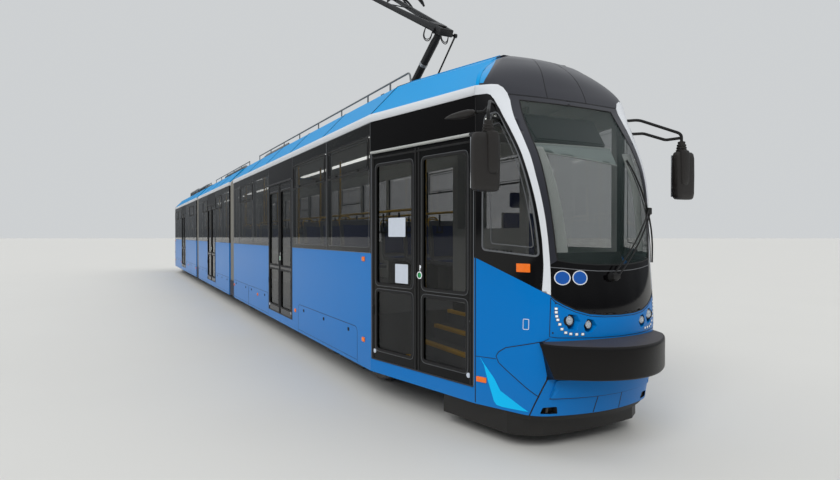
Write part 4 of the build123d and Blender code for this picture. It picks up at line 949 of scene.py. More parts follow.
side_black = [*SIDE_RISE, (2.0, STRIPE_Z[0]), *reversed(STRIPE_TURN), *reversed(STRIPE_REAR[1:])]
screen = [GLASS_FOOT[0], *GLASS_SIDE, (0.70, GLASS_TOP)]
screen += [*other_side(screen), *opposed(GLASS_FOOT[1:]), *reversed(GLASS_FOOT[1:-1])]
hexes = [list(outline) for outline in HEXES] + [other_side(outline) for outline in HEXES]

at_ends("nose_blue", skin(blue, holes=hexes, spacing=0.035), "blue", node="mask", slot="body_blue")
at_ends("nose_mask", skin(mask, spacing=0.02), "black")
at_ends("pillars", skin(pillar).both(), "cap")
at_ends("pillar_stripe", skin(stripe, out=0.004, thick=0.008, spacing=0.018).both(), "white")
at_ends("side_mask", skin(side_black, holes=[window], spacing=0.025).both(), "black")
at_ends("windscreen", skin(grown_outline(screen, 0.012), out=-0.0045, spacing=0.03), "screen", node="screen",
        slot="glass")
GLASS_BORDER = ((0.89, 1.482), (0.755, 1.475), (0.545, 1.461), (0.3, 1.450), (0.0, 1.446))
edges = [ribbon(screen, bead(0.010, 0.0022), closed=True), ribbon(across(MASK_FOOT), bar(0.010, 0.0012))]
at_ends("windscreen_edges", joined(edges), "rubber")
at_ends("windscreen_border", ribbon(across(GLASS_BORDER), bar(0.006, 0.0015)), "gasket")
at_ends("cab_window", skin(window, out=-0.004, spacing=0.035).both(), "pane")
inner_glass = rounded([(1.74, 1.665), (1.735, 2.10), (1.66, 2.50), (1.56, 2.64), (1.20, 2.66), (1.15, 2.33),
                       (1.115, 2.0), (1.085, 1.635)], 0.03)
at_ends("cab_window_seal", (ribbon(window, bead(0.016, 0.004), closed=True)
                            + ribbon(inner_glass, bar(0.007, 0.0, 0.004), closed=True)).both(), "gasket")

# The white cornice runs on along the walls as a rounded moulding
mould = [(wall_s(CAB_X), 2.96), (wall_s(TAPER_X), 2.96), (stripe_end, 2.96)]
moulding = ((-0.04, -0.003), (-0.04, 0.004), (-0.032, 0.010), (0.0, 0.013), (0.032, 0.010), (0.04, 0.004),
            (0.04, -0.003))
at_ends("cornice", ribbon(mould, moulding, spacing=0.3).both(), "white")

# %% Cap
CAP_SEAM = ((1.80, STRIPE_Z[1]), (1.66, 3.40))
cap_foot = [(0.835, 2.926), *STRIPE_OUTER[1:], CAP_SEAM[0]]
cap = [*cap_foot, CAP_SEAM[1]] + other_side([*cap_foot, CAP_SEAM[1]]) + [(0.0, 2.926)]
at_ends("cap_skin", skin(cap, spacing=0.025), "cap", node="cap", slot="roof_cap")
roof_end = [CAP_SEAM[0], (2.0, STRIPE_Z[1]), (2.0, 3.40), CAP_SEAM[1]]
at_ends("roof_nose", skin(roof_end, spacing=0.03).both(), "sky_plain")
cap_seams = [[(0.835, 2.918), (0.0, 2.918)], [(0.30, 2.92), (0.30, 3.38)], list(CAP_SEAM)]
at_ends("cap_seams", joined(ribbon(path, bar(0.006)) for path in cap_seams).both(), "rubber")

# %% [markdown]
# ## Headlamps
# Each lamp sits at the bottom of a six-sided well sunk into the blue panel. A well is a loft with
# thickness: the rim on the surface, then the floor, then the same two again a little larger on the
# inside. The lamps themselves are turned sections, and the row of small square lamps that frames
# them is one template copied along a path by Geometry Nodes.

# %% Headlamps
LAMP_TILT = (0.96, 0.0, 0.10)
LAMP_MIDDLES = ((0.668, 1.062), (0.447, 1.028))
WELL_DEPTH = 0.075
LAMP_SUNK = 0.020
LAMP_RINGS = ((0.036, 0.013), (0.031, 0.005))

wells, dishes, bezels, lenses = [], [], [], []
for outline, middle, (r, wide) in zip(HEXES, LAMP_MIDDLES, LAMP_RINGS):
    floor = hull(*middle) - (WELL_DEPTH, 0, 0)
    wells.append(recess(outline, floor, (0, 0.72, 0.72), 0.006))
    dish = ((0.0, 0.050), (r + 0.001, 0.050), (r + 0.001, 0.081), (0.7 * r, 0.066), (0.32 * r, 0.060),
            (0.28 * r, 0.074), (0.0, 0.078))
    bezel = ((0.0, 0.002), (r + wide, 0.002), (r + wide, 0.078), (r + wide * 0.6, 0.086), (r, 0.086),
             (r, 0.055), (0.0, 0.055))
    lens = ((0.0, 0.080), (r, 0.080), (r, 0.083), (0.7 * r, 0.089), (0.35 * r, 0.092), (0.0, 0.093))
    for profile, found in ((dish, dishes), (bezel, bezels), (lens, lenses)):
        found.append(turned(profile, floor - (LAMP_SUNK, 0, 0), LAMP_TILT, 28))
at_ends("lamp_bezels", joined(bezels).both(), "plastic")
at_ends("lamp_wells", joined(wells).both(), "blue")
at_ends("lamp_lenses", joined(lenses).both(), "clear")
piece("rear_tail_lenses", lenses[1].moved((0.003, 0, 0)).both().mirrored(0), "red", "rear_section")

# %% Side lamps and the row of small lamps
SIDE_LAMPS = ((11.57, 1.474), (11.57, 0.60), (8.84, 0.60), (6.19, 0.60), (3.70, 0.60))
side_lamps = [soft_box((x - long, HALF + low, z - tall), (x + long, HALF + high, z + tall), radius)
              for x, z in SIDE_LAMPS
              for long, tall, low, high, radius in ((0.037, 0.026, -0.006, 0.011, 0.008),
                                                    (0.031, 0.020, 0.004, 0.014, 0.006))]
at_ends("lamp_dishes", joined(dishes).both(), "chrome", node="lamps", slot="lamps")
at_ends("side_lamps", joined(side_lamps).both(), "amber")
AMBER = ([(1.14, 1.438), (1.14, 1.506), (1.34, 1.506), (1.34, 1.438)],
         [(1.80, 0.494), (1.80, 0.538), (1.975, 0.538), (1.975, 0.494)])
at_ends("cab_side_lamps",
        joined(skin(rounded(outline, 0.006), out=0.008, thick=0.010) for outline in AMBER).both(), "amber")

LEDS = ((0.824, 1.162), (0.822, 1.135), (0.816, 1.104), (0.804, 1.077), (0.782, 1.042), (0.758, 1.005),
        (0.716, 0.977), (0.661, 0.967), (0.594, 0.963), (0.524, 0.963))
SCREWS = ((0.828, 1.205), (0.852, 0.975))
SMALL_COPIES = (
    # name, template, places on the surface, finish
    ("led_faces", soft_box((-0.002, -0.011, -0.009), (0.004, 0.011, 0.009), 0.003), LEDS, "led"),
    ("led_rims", soft_box((-0.002, -0.014, -0.012), (0.002, 0.014, 0.012), 0.003), LEDS, "gasket"),
    ("panel_screws", turned(((0.0, -0.002), (0.007, -0.002), (0.007, 0.002), (0.004, 0.003), (0.0, 0.0015)),
                            HERE, (1, 0, 0), 12), SCREWS, "rubber"),
)
for name, template, spots, finish in SMALL_COPIES:
    places, turns = standing(spots)
    copies_at_ends(name, template, places, finish, turns)

# %% [markdown]
# ## Shut lines, films and the hatch
# Thin dark strips stand for the gaps between panels. They follow the surface, since each is a path in
# the same flat map. The light blue flash, the two blank discs and the small outline are films that
# lie on the paint with a millimetre of thickness.

# %% Shut lines and films
HATCH = ((0.960, 0.458), (1.47, 0.635), (1.60, 0.685), (1.645, 0.735), (1.60, 0.775), (1.488, 0.818),
         (1.007, 0.896))
PANEL_SEAMS = (
    [(0.885, 1.246), (0.885, 0.945), (0.80, 0.937), (0.40, 0.934), (0.0, 0.934)],
    [(0.885, 1.246), (0.833, 1.212), (0.735, 1.174), (0.611, 1.136), (0.444, 1.104), (0.247, 1.092),
     (0.0, 1.090)],
    [(2.0, 0.705), (1.645, 0.712)],
    [(0.885, 0.93), (0.95, 0.905), (1.007, 0.896)],
)
seams = [ribbon(path, bar(0.005)) for path in PANEL_SEAMS]
seams += [ribbon(HATCH, bar(0.007)), ribbon([(2.0, 0.31), (2.0, 2.90)], bar(0.010)),
          ribbon(SEAM, bar(0.010, 0.0004))]
at_ends("shut_lines", joined(seams).both(), "rubber")

FLASH = [(1.922, 0.702), (1.772, 0.608), (1.672, 0.549), (1.559, 0.454), (1.091, 0.330), (1.518, 0.323),
         (1.617, 0.330), (1.664, 0.357), (1.782, 0.527), (1.850, 0.645)]
at_ends("flash", skin(FLASH, out=0.0012, thick=0.0022, spacing=0.04).both(), "flash")


def round_outline(s, z, radius, steps=28):
    turns = [2 * math.pi * k / steps for k in range(steps)]
    return [(s + radius / REACH * math.cos(a), z + radius * math.sin(a)) for a in turns]


DISCS = ((-0.755, 1.400), (-0.545, 1.400))
DISC_R = 0.050
discs = joined(skin(round_outline(s, z, DISC_R), out=0.0012, thick=0.0022) for s, z in DISCS)
rims = joined(ribbon(round_outline(s, z, DISC_R + 0.003), bar(0.007, 0.0018, 0.003), closed=True,
                     spacing=0.02) for s, z in DISCS)
at_ends("discs", discs, "disc")
at_ends("disc_rims", rims, "white")
KEY = rounded([(-1.222, 0.987), (-1.222, 1.068), (-1.141, 1.070), (-1.140, 0.990)], 0.008)
at_ends("small_outline", ribbon(KEY, bar(0.005), closed=True), "white")

# %% [markdown]
# ## Bumper and valance
# The bumper is one loft: at each place across the front, a section runs from the body out to a bowed
# front edge and back underneath. Its sloping top is a shade lighter, a painted highlight. The valance
# below is a panel of the same skin with a raised centre, two hatch lines and a sunk eye for towing on each
# side.

# %% Bumper
BUMPER_TOP = (0.922, 0.900)
BUMPER_EDGE = (0.888, 0.896)
BUMPER_FOOT = (0.600, 0.632)
BUMPER_CORNER = (14.010, 0.600)
BUMPER_END = (13.882, 0.651)
BUMPER_X = 14.295
BUMPER_LEAN = 0.112
BUMPER_EDGE_R = 0.028
FOLD = 0.90
FOLD_BAND = 0.035


def bumper_rim(s):
    """The bumper's outer plan at the map's s."""
    u = abs(s)
    sweep = BUMPER_X - BUMPER_CORNER[0]

    def plain(v):
        if v <= FOLD:
            return np.array((BUMPER_X - sweep * (v / FOLD)**2, BUMPER_CORNER[1] * v / FOLD))
        share = (v - FOLD) / (1.0 - FOLD)
        return np.array(BUMPER_CORNER) * (1 - share) + np.array(BUMPER_END) * share

    if abs(u - FOLD) < FOLD_BAND:
        t = (u - FOLD + FOLD_BAND) / (2 * FOLD_BAND)
        x, y = swung(t, plain(FOLD - FOLD_BAND), plain(FOLD), plain(FOLD + FOLD_BAND))
    else:
        x, y = plain(u)
    return np.array((x, math.copysign(y, s) if s else 0.0))


def bumper_section(s):
    """Points of one section, from the body along the top, down the front and back underneath."""
    u = abs(s)
    top, edge = (pair[0] + (pair[1] - pair[0]) * u * u for pair in (BUMPER_TOP, BUMPER_EDGE))
    foot, low = BUMPER_FOOT

    def between(inset, z):
        """A point at height z, pulled in from the rim by a distance; the ends lean like the seam."""
        here = s * (1 - BUMPER_LEAN * u**4 * (edge - z) / (edge - foot))
        back = hull_out(here, z, -0.012)
        way = bumper_rim(here) - back[:2]
        reach = max(float(np.linalg.norm(way)), 1e-6)
        return (*(back[:2] + way * max(0.0, 1 - inset / reach)), z)

    r = BUMPER_EDGE_R
    corner = [(1 - math.sin(math.pi / 8 * k), 1 - math.cos(math.pi / 8 * k)) for k in range(5)]
    chin = [(1 - math.cos(math.pi / 6 * k), 1 - math.sin(math.pi / 6 * k)) for k in range(4)]
    return [between(9.0, top), between(2.2 * r, edge + 0.25 * r),
            *(between(r * a, edge - r * b) for a, b in corner),
            *(between(0.8 * r * a, low + 0.8 * r * b) for a, b in chin), between(9.0, foot)]


SPREAD = np.concatenate((np.linspace(-1.0, -0.85, 10), np.linspace(-0.83, 0.83, 34),
                         np.linspace(0.85, 1.0, 10)))
at_ends("bumper_shell", lofted([bumper_section(s) for s in SPREAD]), "bumper", node="bumper",
        slot="black_bumper")
# A thin lighter strip over the bumper's top: a painted highlight
highlight_lid = []
for s in SPREAD[2:-2]:
    section = np.array(bumper_section(s))
    top = section[[0, 1, 3]] + (0, 0, 0.0025)
    highlight_lid.append(list(top) + list(top[::-1] - (0, 0, 0.004)))
at_ends("bumper_top", lofted(highlight_lid), "bumper_top")

# %% Valance
valance = [(s - 0.012, z) for s, z in SEAM]
valance += other_side(valance)
TOW_EYE = rounded([(0.93, 0.318), (0.905, 0.372), (0.735, 0.380), (0.715, 0.318)], 0.012)
eyes = [TOW_EYE, other_side(TOW_EYE)]
at_ends("valance_skin", skin(valance, holes=eyes, spacing=0.03), "blue", node="valance")
raised = rounded([(0.835, 0.455), (0.785, 0.602), (-0.785, 0.602), (-0.835, 0.455)], 0.012)
at_ends("valance_panel", skin(raised, out=0.014, thick=0.018, spacing=0.04), "blue")
eye_wells = [recess(outline, hull(*np.array(outline).T).mean(0) - (0.055, 0, 0), 0.86, 0.005)
             for outline in eyes]
at_ends("tow_wells", joined(eye_wells), "plastic")
tow_bars = [[tuple(hull(s, z) - (0.03, 0, 0)) for z in (0.325, 0.375)] for s in (0.82, -0.82)]
tubes_at_ends("tow_bars", tow_bars, 0.011, "spring", sides=12)
lower = [ribbon([(s, 0.305), (s * 0.92, 0.448)], bar(0.008)) for s in (0.22, -0.22)]
lower.append(ribbon([(0.835, 0.447), (-0.835, 0.447)], bar(0.010, 0.0006)))
at_ends("valance_lines", joined(lower), "rubber")
# %% [markdown]
# ## Doors, panes and flaps
# The side walls share the cab's flat map, so the same strips and panels follow their taper. One door's
# seals, rail, button and dots are drawn once and placed at every doorway; the panes get their thin
# frames and tilting top lights in the same way. The flaps over the running gear have latches, which
# are copies of one small template.

# %% Places along the sides
RUN = math.cos(math.atan(TAPER))
END_PANES = ((3.614, 4.326), (4.334, 5.766), (5.774, 7.108), (8.672, 10.306), (10.314, 11.762))
END_DOORS = ((7.120, 8.660), (TAPER_X + 0.020 * RUN, TAPER_X + 1.520 * RUN))
BLIND_PANES = ((7.120, 8.660), (TAPER_X + 0.012 * RUN, TAPER_X + 1.530 * RUN))
MIDDLE_PANES = ((0.782, 1.886), (1.894, 2.986), (-1.886, -0.782), (-2.986, -1.894))
MIDDLE_DOORS = ((-0.770, 0.770),)
DOOR_Z = (0.446, 2.564)
LEAF_LIGHTS = ((0.55, 1.16), (1.23, 2.45))
STILE = 0.075
PANE_Z = (1.544, 2.916)
LIGHT_Z = (1.60, 2.765)
TOP_LIGHT_Z = 2.43


def upright(x, z0, z1):
    return [(wall_s(x), z0), (wall_s(x), z1)]


def level(x0, x1, z):
    return [(wall_s(x0), z), (wall_s(x1), z)]


def round_frame(x0, x1, z0, z1, radius, section):
    return ribbon(wall_box(x0, x1, z0, z1, radius), section, closed=True, spacing=0.12)


def disc_on(x, z, radius, out, thick):
    return skin(round_outline(wall_s(x), z, radius, 24), out=out, thick=thick, spacing=0.05)


DOOR_FINISH = {"door_seals": "rubber", "door_lines": "gasket", "door_rails": "trim", "door_buttons": "green",
               "door_rings": "led", "door_dots": "pale"}
BUTTON_Z = 1.353
DOT_Z = 0.525


def door_parts(doors):
    """Strips, buttons and pale dots of the doorways, as shapes on the left side, one list for each piece."""
    parts = {name: [] for name in DOOR_FINISH}
    seals, lines, metal, buttons, rings, dots = parts.values()
    for x0, x1 in doors:
        middle = (x0 + x1) / 2
        for a, b in ((x0 + 0.006, middle - 0.003), (middle + 0.003, x1 - 0.006)):
            for z0, z1 in LEAF_LIGHTS:
                for found, grow, radius, section in ((seals, 0.004, 0.05, bead(0.030, 0.006)),
                                                     (lines, 0.020, 0.06, bar(0.004, 0.002))):
                    found.append(round_frame(a + STILE - grow, b - STILE + grow, z0 - grow, z1 + grow, radius,
                                             section))
            seals += [ribbon(upright(x, *DOOR_Z), bead(0.026, 0.009), spacing=0.3)
                      for x in (a + 0.020, b - 0.020)]
            seals.append(ribbon(level(a, b, DOOR_Z[1] - 0.030), bead(0.020, 0.006), spacing=0.3))
        lines += [ribbon(upright(x, DOOR_Z[0], 2.61), bead(0.010, 0.006), spacing=0.3)
                  for x in (x0 - 0.004, x1 + 0.004)]
        metal.append(ribbon(level(x0 - 0.01, x1 + 0.01, 2.595), bead(0.030, 0.016), spacing=0.3))
        metal.append(ribbon(level(x0, x1, DOOR_Z[0] - 0.006), bar(0.012, 0.006, 0.02), spacing=0.3))
        for x in (x0 + 0.030, x1 - 0.030):
            seals.append(ribbon(upright(x, 0.90, 1.00), bead(0.020, 0.016)))
            seals.append(ribbon(upright(x, 1.03, 1.07), bead(0.020, 0.012)))
            lines.append(ribbon(upright(x, 0.992, 0.998), bead(0.016, 0.018)))
        x = middle + 0.040
        buttons.append(disc_on(x, BUTTON_Z, 0.026, 0.008, 0.012))
        for found, radius, steps, section in ((buttons, 0.018, 20, bead(0.006, 0.011)),
                                              (rings, 0.031, 24, bar(0.008, 0.009, 0.012))):
            found.append(ribbon(round_outline(wall_s(x), BUTTON_Z, radius, steps), section, closed=True,
                                spacing=0.02))
        rings.append(disc_on(x, 1.432, 0.016, 0.002, 0.006))
        rings.append(ribbon(upright(x, 1.398, 1.422), bar(0.010, 0.002, 0.006)))
        for place in (x0 + 0.055, x1 - 0.055):
            dots += [disc_on(place, DOT_Z, 0.022, 0.004, 0.008), disc_on(place, DOT_Z, 0.012, 0.007, 0.008)]
    return parts


def pane_parts(panes, tilting):
    """Thin frames of the panes, and the bars of those whose top tilts."""
    frames, bars = [], []
    for x0, x1 in panes:
        frames.append(round_frame(x0 + 0.004, x1 - 0.004, *PANE_Z, 0.015, bar(0.006, 0.0012)))
        frames.append(round_frame(x0 + 0.05, x1 - 0.05, *LIGHT_Z, 0.05, bar(0.004, 0.0008)))
    for x0, x1 in tilting:
        bars.append(round_frame(x0 + 0.05, x1 - 0.05, TOP_LIGHT_Z, LIGHT_Z[1], 0.03, bead(0.024, 0.008)))
        bars.append(round_frame(x0 + 0.085, x1 - 0.085, TOP_LIGHT_Z + 0.035, LIGHT_Z[1] - 0.035, 0.03,
                                bead(0.008, 0.006)))
        for share in (0.25, 0.75):
            x = x0 + (x1 - x0) * share
            bars.append(ribbon(level(x - 0.03, x + 0.03, TOP_LIGHT_Z + 0.01), bead(0.030, 0.018)))
    return joined(frames), joined(bars)


def side_dressing(prefix, build, doors, blind, panes, tilting):
    """Every strip of one section's two sides; the doors are on the right side only."""
    for name, shapes in door_parts(doors).items():
        build(prefix + name, joined(shapes).mirrored(1), DOOR_FINISH[name])
    frames, bars = pane_parts(panes, tilting)
    blind_frames, _ = pane_parts(blind, panes[:1])
    build(prefix + "pane_frames", frames.both() + blind_frames, "gasket")
    build(prefix + "top_lights", bars.both(), "rubber")


side_dressing("", at_ends, END_DOORS, BLIND_PANES, END_PANES, (END_PANES[1], END_PANES[3], END_PANES[4]))
side_dressing("middle_", on_middle, MIDDLE_DOORS, MIDDLE_DOORS, MIDDLE_PANES, MIDDLE_PANES[::2])

# Blank cards behind the glass of the first door
CARDS = ((12.06, 12.33, 1.715, 1.905), (12.17, 12.37, 1.255, 1.445))
cards = joined(skin(wall_box(*card, 0.01), out=-0.011, thick=0.0015) for card in CARDS)
on_front("door_cards", cards.mirrored(1), "pale")
middle_mould = [(wall_s(-2.99), 2.96), (wall_s(2.99), 2.96)]
on_middle("middle_cornice", ribbon(middle_mould, moulding, spacing=0.3).both(), "white")

# %% Flaps over the running gear
FLAPS = {"end": ((9.00, 11.38), (3.64, 5.30), (5.32, 7.06)), "middle": ((0.83, 2.96), (-2.96, -0.83))}
FLAP_TOP = 0.71
FLAP_CORNER = 0.06
LATCH_Z = 0.645


def flap_parts(flaps):
    """Shut lines and latch places of the flaps."""
    lines, latches = [], []
    z0 = foot_z + 0.006
    rise = [(0.0, z0), *((aside * FLAP_CORNER, FLAP_TOP - drop * FLAP_CORNER)
                         for aside, drop in ((0.0, 1.0), (0.3, 0.3), (1.0, 0.0)))]
    for x0, x1 in flaps:
        outline = [(wall_s(x0 + aside), z) for aside, z in rise]
        outline += [(wall_s(x1 - aside), z) for aside, z in rise[::-1]]
        lines.append(ribbon(outline, bar(0.006), spacing=0.2))
        lines.append(ribbon(level(x0 + 0.02, x1 - 0.02, z0 + 0.035), bar(0.004), spacing=0.3))
        latches += [(wall_s(x), LATCH_Z) for x in np.linspace(x0 + 0.28, x1 - 0.28, 3 if x1 - x0 > 2 else 2)]
    return joined(lines), latches


latch = soft_box((-0.004, -0.024, -0.020), (0.004, 0.024, 0.020), 0.003) + soft_box(
    (0.001, -0.014, -0.006), (0.009, 0.014, 0.006), 0.003)
lines, latches = flap_parts(FLAPS["end"])
at_ends("flap_lines", lines.both(), "rubber")
places, turns = standing(latches)
copies_at_ends("flap_latches", latch, places, "rubber", turns)
lines, latches = flap_parts(FLAPS["middle"])
on_middle("middle_flap_lines", lines.both(), "rubber")
places, turns = standing(latches)
copies("middle_flap_latches", latch, places, "rubber", "middle_section", turns)


# %% Side panes, without the flat-sided cab lights that the smooth skin stands in for
def solids_of(node_name):
    """The separate solids of a node, each as a shape with its loose corners joined."""
    bm = bmesh.new()
    bm.from_mesh(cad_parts[node_name].data)
    bmesh.ops.remove_doubles(bm, verts=bm.verts, dist=MERGE)
    bm.verts.ensure_lookup_table()
    bm.faces.index_update()
    left, solids = set(range(len(bm.verts))), []
    while left:
        queue, group = [left.pop()], []
        while queue:
            index = queue.pop()
            group.append(index)
            near = [edge.other_vert(bm.verts[index]).index for edge in bm.verts[index].link_edges]
            queue += [other for other in near if other in left]
            left -= set(near)
        order = {index: k for k, index in enumerate(group)}
        faces = sorted({face for index in group for face in bm.verts[index].link_faces},
                       key=lambda face: face.index)
        solids.append(Shape([tuple(bm.verts[i].co) for i in group],
                            [tuple(order[v.index] for v in face.verts) for face in faces]))
    bm.free()
    return solids


for end, sign in ENDS.items():
    panes = [solid for solid in solids_of(f"{end}_windows") if sign * solid.points[:, 0].mean() < CAB_X]
    piece(f"{end}_side_panes", joined(panes), "pane", f"{end}_section", replaces=[f"{end}_windows"],
          slot="dark_glass", sharp=math.radians(10))
# %% [markdown]
# ## Mirrors and wiper
# The mirror housing has two lobes, so it is two lofts of soft rectangles that run into each other. A
# soft rectangle is a superellipse: the higher its power, the squarer its corners. Arms are round bars
# with bent corners, and the wiper has two rods side by side, as a long arm needs.

# %% Mirrors
def soft_ring(place, half_x, half_y, power=4.0):
    """A soft rectangle lying flat at a place."""
    steps = 28
    turns = np.linspace(0, 2 * math.pi, steps, endpoint=False)
    c, s = np.cos(turns), np.sin(turns)
    x = np.sign(c) * np.abs(c)**(2 / power) * half_x
    y = np.sign(s) * np.abs(s)**(2 / power) * half_y
    return np.stack((x + place[0], y + place[1], np.full(steps, place[2])), axis=1)


MIRROR_STEM = (13.80, 1.07)
HOUSING_Y = 1.095
HOUSING = (
    # height, half depth, half width
    (2.060, 0.020, 0.070), (2.063, 0.034, 0.092), (2.075, 0.043, 0.106), (2.110, 0.048, 0.1145),
    (2.280, 0.050, 0.1165), (2.440, 0.048, 0.1155), (2.482, 0.042, 0.108), (2.496, 0.032, 0.094),
    (2.500, 0.018, 0.072),
)
COLUMN = (
    (2.185, 0.010, 0.014), (2.190, 0.022, 0.032), (2.205, 0.032, 0.044), (2.235, 0.038, 0.050),
    (2.380, 0.040, 0.052), (2.480, 0.040, 0.052), (2.502, 0.036, 0.047), (2.508, 0.028, 0.038),
)
x, y = MIRROR_STEM
housing = lofted([soft_ring((x, HOUSING_Y, z), a, b) for z, a, b in HOUSING])
column = lofted([soft_ring((x + 0.032, y - 0.012, z), a, b, 3.0) for z, a, b in COLUMN])
GAITER = [(0.0, 2.500), (0.046, 2.500), (0.049, 2.508), (0.049, 2.516), (0.040, 2.522), (0.045, 2.530),
          (0.045, 2.540), (0.036, 2.546), (0.041, 2.554), (0.041, 2.563), (0.031, 2.570), (0.033, 2.580),
          (0.033, 2.590), (0.020, 2.596), (0.0, 2.596)]
gaiter = turned(GAITER, (x, y, 0))
KERB_MIRROR = (
    # along the pointed mirror: place x, y, z, half depth, half height
    (13.285, 1.150, 2.690, 0.003, 0.003), (13.310, 1.138, 2.692, 0.020, 0.012),
    (13.360, 1.115, 2.696, 0.038, 0.022), (13.430, 1.080, 2.700, 0.050, 0.030),
    (13.490, 1.050, 2.704, 0.048, 0.032), (13.530, 1.030, 2.706, 0.034, 0.024),
    (13.548, 1.021, 2.707, 0.012, 0.009),
)
turns = np.linspace(0, 2 * math.pi, 20, endpoint=False)[:, None]
kerb = [(px, py, pz) + np.cos(turns) * (0.45 * wide, 0.9 * wide, 0) + np.sin(turns) * (0, 0, high)
        for px, py, pz, wide, high in KERB_MIRROR]
mirror_glass = soft_box((x - 0.056, HOUSING_Y - 0.100, 2.085), (x - 0.046, HOUSING_Y + 0.100, 2.470), 0.004)
housings = joined([housing, column, gaiter]).both() + lofted(kerb).mirrored(1)
on_front("mirror_housings", housings, "housing", replaces=["mirrors"], slot="black_plastic")
on_front("mirror_glasses", mirror_glass.both(), "chrome")
ARMS = (
    bent([(13.360, 0.670, 2.815), (13.500, 0.850, 2.825), (x, y, 2.665), (x, y, 2.590)], 0.04),
    bent([(13.440, 0.680, 2.682), (13.540, 0.870, 2.692), (13.690, 0.990, 2.618), (x, y, 2.628),
          (x, y, 2.592)], 0.02),
)
KERB_ARM = [(13.545, -1.010, 2.706), (13.560, -0.950, 2.715), (13.575, -0.905, 2.760)]
stays = [[(13.430, 0.760, 2.820), (13.475, 0.745, 2.686)]]
tubes("mirror_arms", both_paths(ARMS) + [KERB_ARM], 0.0135, "plastic", "front_section", sides=14)
tubes("mirror_stays", both_paths(stays), 0.007, "plastic", "front_section", sides=10)
feet = [turned(((0.0, 0.0), (0.038, 0.0), (0.038, 0.010), (0.020, 0.022), (0.0, 0.022)), place,
               (0.5, 0.8, 0.1), 20)
        for place in ((13.372, 0.672, 2.813), (13.446, 0.682, 2.682))]
on_front("mirror_feet", joined(feet).both(), "plastic")

# %% Wiper
def surface_s(y, z):
    """The map's s of a place on the front whose distance from the middle is known."""
    low, high = 0.0, 1.0
    for _ in range(30):
        middle = (low + high) / 2
        low, high = (middle, high) if hull(middle, z)[1] < abs(y) else (low, middle)
    return math.copysign(low, y)


def off_nose(y, z, out):
    return hull_out(surface_s(y, z), z, out)


WIPER_PIVOT = (-0.065, 1.400)
WIPER_TIP = (0.494, 1.933)
BLADE_LEAN = -0.28
BLADE_HALF = 0.44
arm_way = np.array(WIPER_TIP) - WIPER_PIVOT
aside = np.array((-arm_way[1], arm_way[0])) / np.linalg.norm(arm_way)
rods = []
for shift in (-0.020, 0.020):
    start, end = np.array(WIPER_PIVOT) + aside * shift, np.array(WIPER_TIP) + aside * shift * 0.8
    route = [start + (end - start) * k / 6 for k in range(7)]
    rods.append([tuple(off_nose(y, z, 0.046 + 0.014 * math.sin(math.pi * k / 6)))
                 for k, (y, z) in enumerate(route)])
blade, rubber = [], []
for share in np.arange(-6, 7) / 6:
    y, z = WIPER_TIP[0] + BLADE_LEAN * BLADE_HALF * share, WIPER_TIP[1] + BLADE_HALF * share
    blade.append(off_nose(y, z, 0.030 - 0.010 * share**2))
    rubber.append(off_nose(y, z, 0.008))
base = [turned(((0.0, -0.02), (0.036, -0.02), (0.036, 0.020), (0.030, 0.030), (0.030, 0.055), (0.020, 0.062),
                (0.0, 0.062)), off_nose(*WIPER_PIVOT, 0.0), (1, 0, 0.05), 24)]
base.append(turned_box((0.030, 0.050, 0.060), off_nose(*WIPER_TIP, 0.040), radius=0.008))
base.append(turned_box((0.022, 0.075, 0.040), off_nose(*WIPER_PIVOT, 0.056), radius=0.008))
on_front("wiper_base", joined(base), "plastic", replaces=["wiper"])
tubes("wiper_rods", rods, 0.0065, "plastic", "front_section", sides=10)
tubes("wiper_blade", [blade], 0.007, "rubber", "front_section", sides=8)
tubes("wiper_rubber", [rubber], 0.0035, "rubber", "front_section", sides=6)

# %% [markdown]
# ## Bellows
# Each articulation is covered by folds of cloth. One fold is a short loft along an arch that follows
# the body's own section, and Geometry Nodes repeats it over the gap. The folds and the cover below
# them ride on no section and stay where they are made.

# %% Bellows
GAP = (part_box("front_bellows")[0].x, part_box("front_bellows")[1].x)
FOLDS = 13
PITCH = (GAP[1] - GAP[0]) / FOLDS
FOLD_DEPTH = 0.045
ARCH = [(1.140, 0.640), (1.140, 2.985), (0.845, 3.300)]
ARCH_STEP = 0.36


def arch_route():
    """Places along the arch and the directions that lead out of it."""
    half = [(y, z, 0.0) for y, z in ARCH]
    route = np.array(bent(half + [(-y, z, 0.0) for y, z, _ in reversed(half)], 0.08, 4))[:, :2]
    points = []
    for start, end in zip(route, route[1:]):
        count = max(1, round(float(np.linalg.norm(end - start)) / ARCH_STEP))
        points += [start + (end - start) * k / count for k in range(count)]
    points = np.array([*points, route[-1]])
    ahead = np.gradient(points, axis=0)
    out = np.stack((ahead[:, 1], -ahead[:, 0]), axis=1)
    out /= np.linalg.norm(out, axis=1, keepdims=True)
    return points, -out if out[0, 0] < 0 else out


def fold_template(depth, thick):
    """One fold along the arch: up and down once over its pitch, with an inner face."""
    points, out = arch_route()
    shares = np.linspace(0, 1, 9)
    wave = -depth * (0.5 + 0.5 * np.cos(2 * math.pi * shares)) ** 0.8
    section = list(zip(shares * PITCH, wave)) + list(zip(shares * PITCH, wave - thick))[::-1]
    return lofted([[(along, *(point + away * dip)) for along, dip in section]
                   for point, away in zip(points, out)])


fold = fold_template(FOLD_DEPTH, 0.006)
COVER_Y = 1.158
COVER_Z = (0.31, 0.66)
cover_rings = []
for z in np.linspace(*COVER_Z, 6):
    outer = [(GAP[0] + PITCH * k / 2, COVER_Y - (0.007 if k % 2 else 0.0), z) for k in range(2 * FOLDS + 1)]
    cover_rings.append(outer + [(x, y - 0.005, z) for x, y, _ in reversed(outer)])
cover = lofted(cover_rings).both()


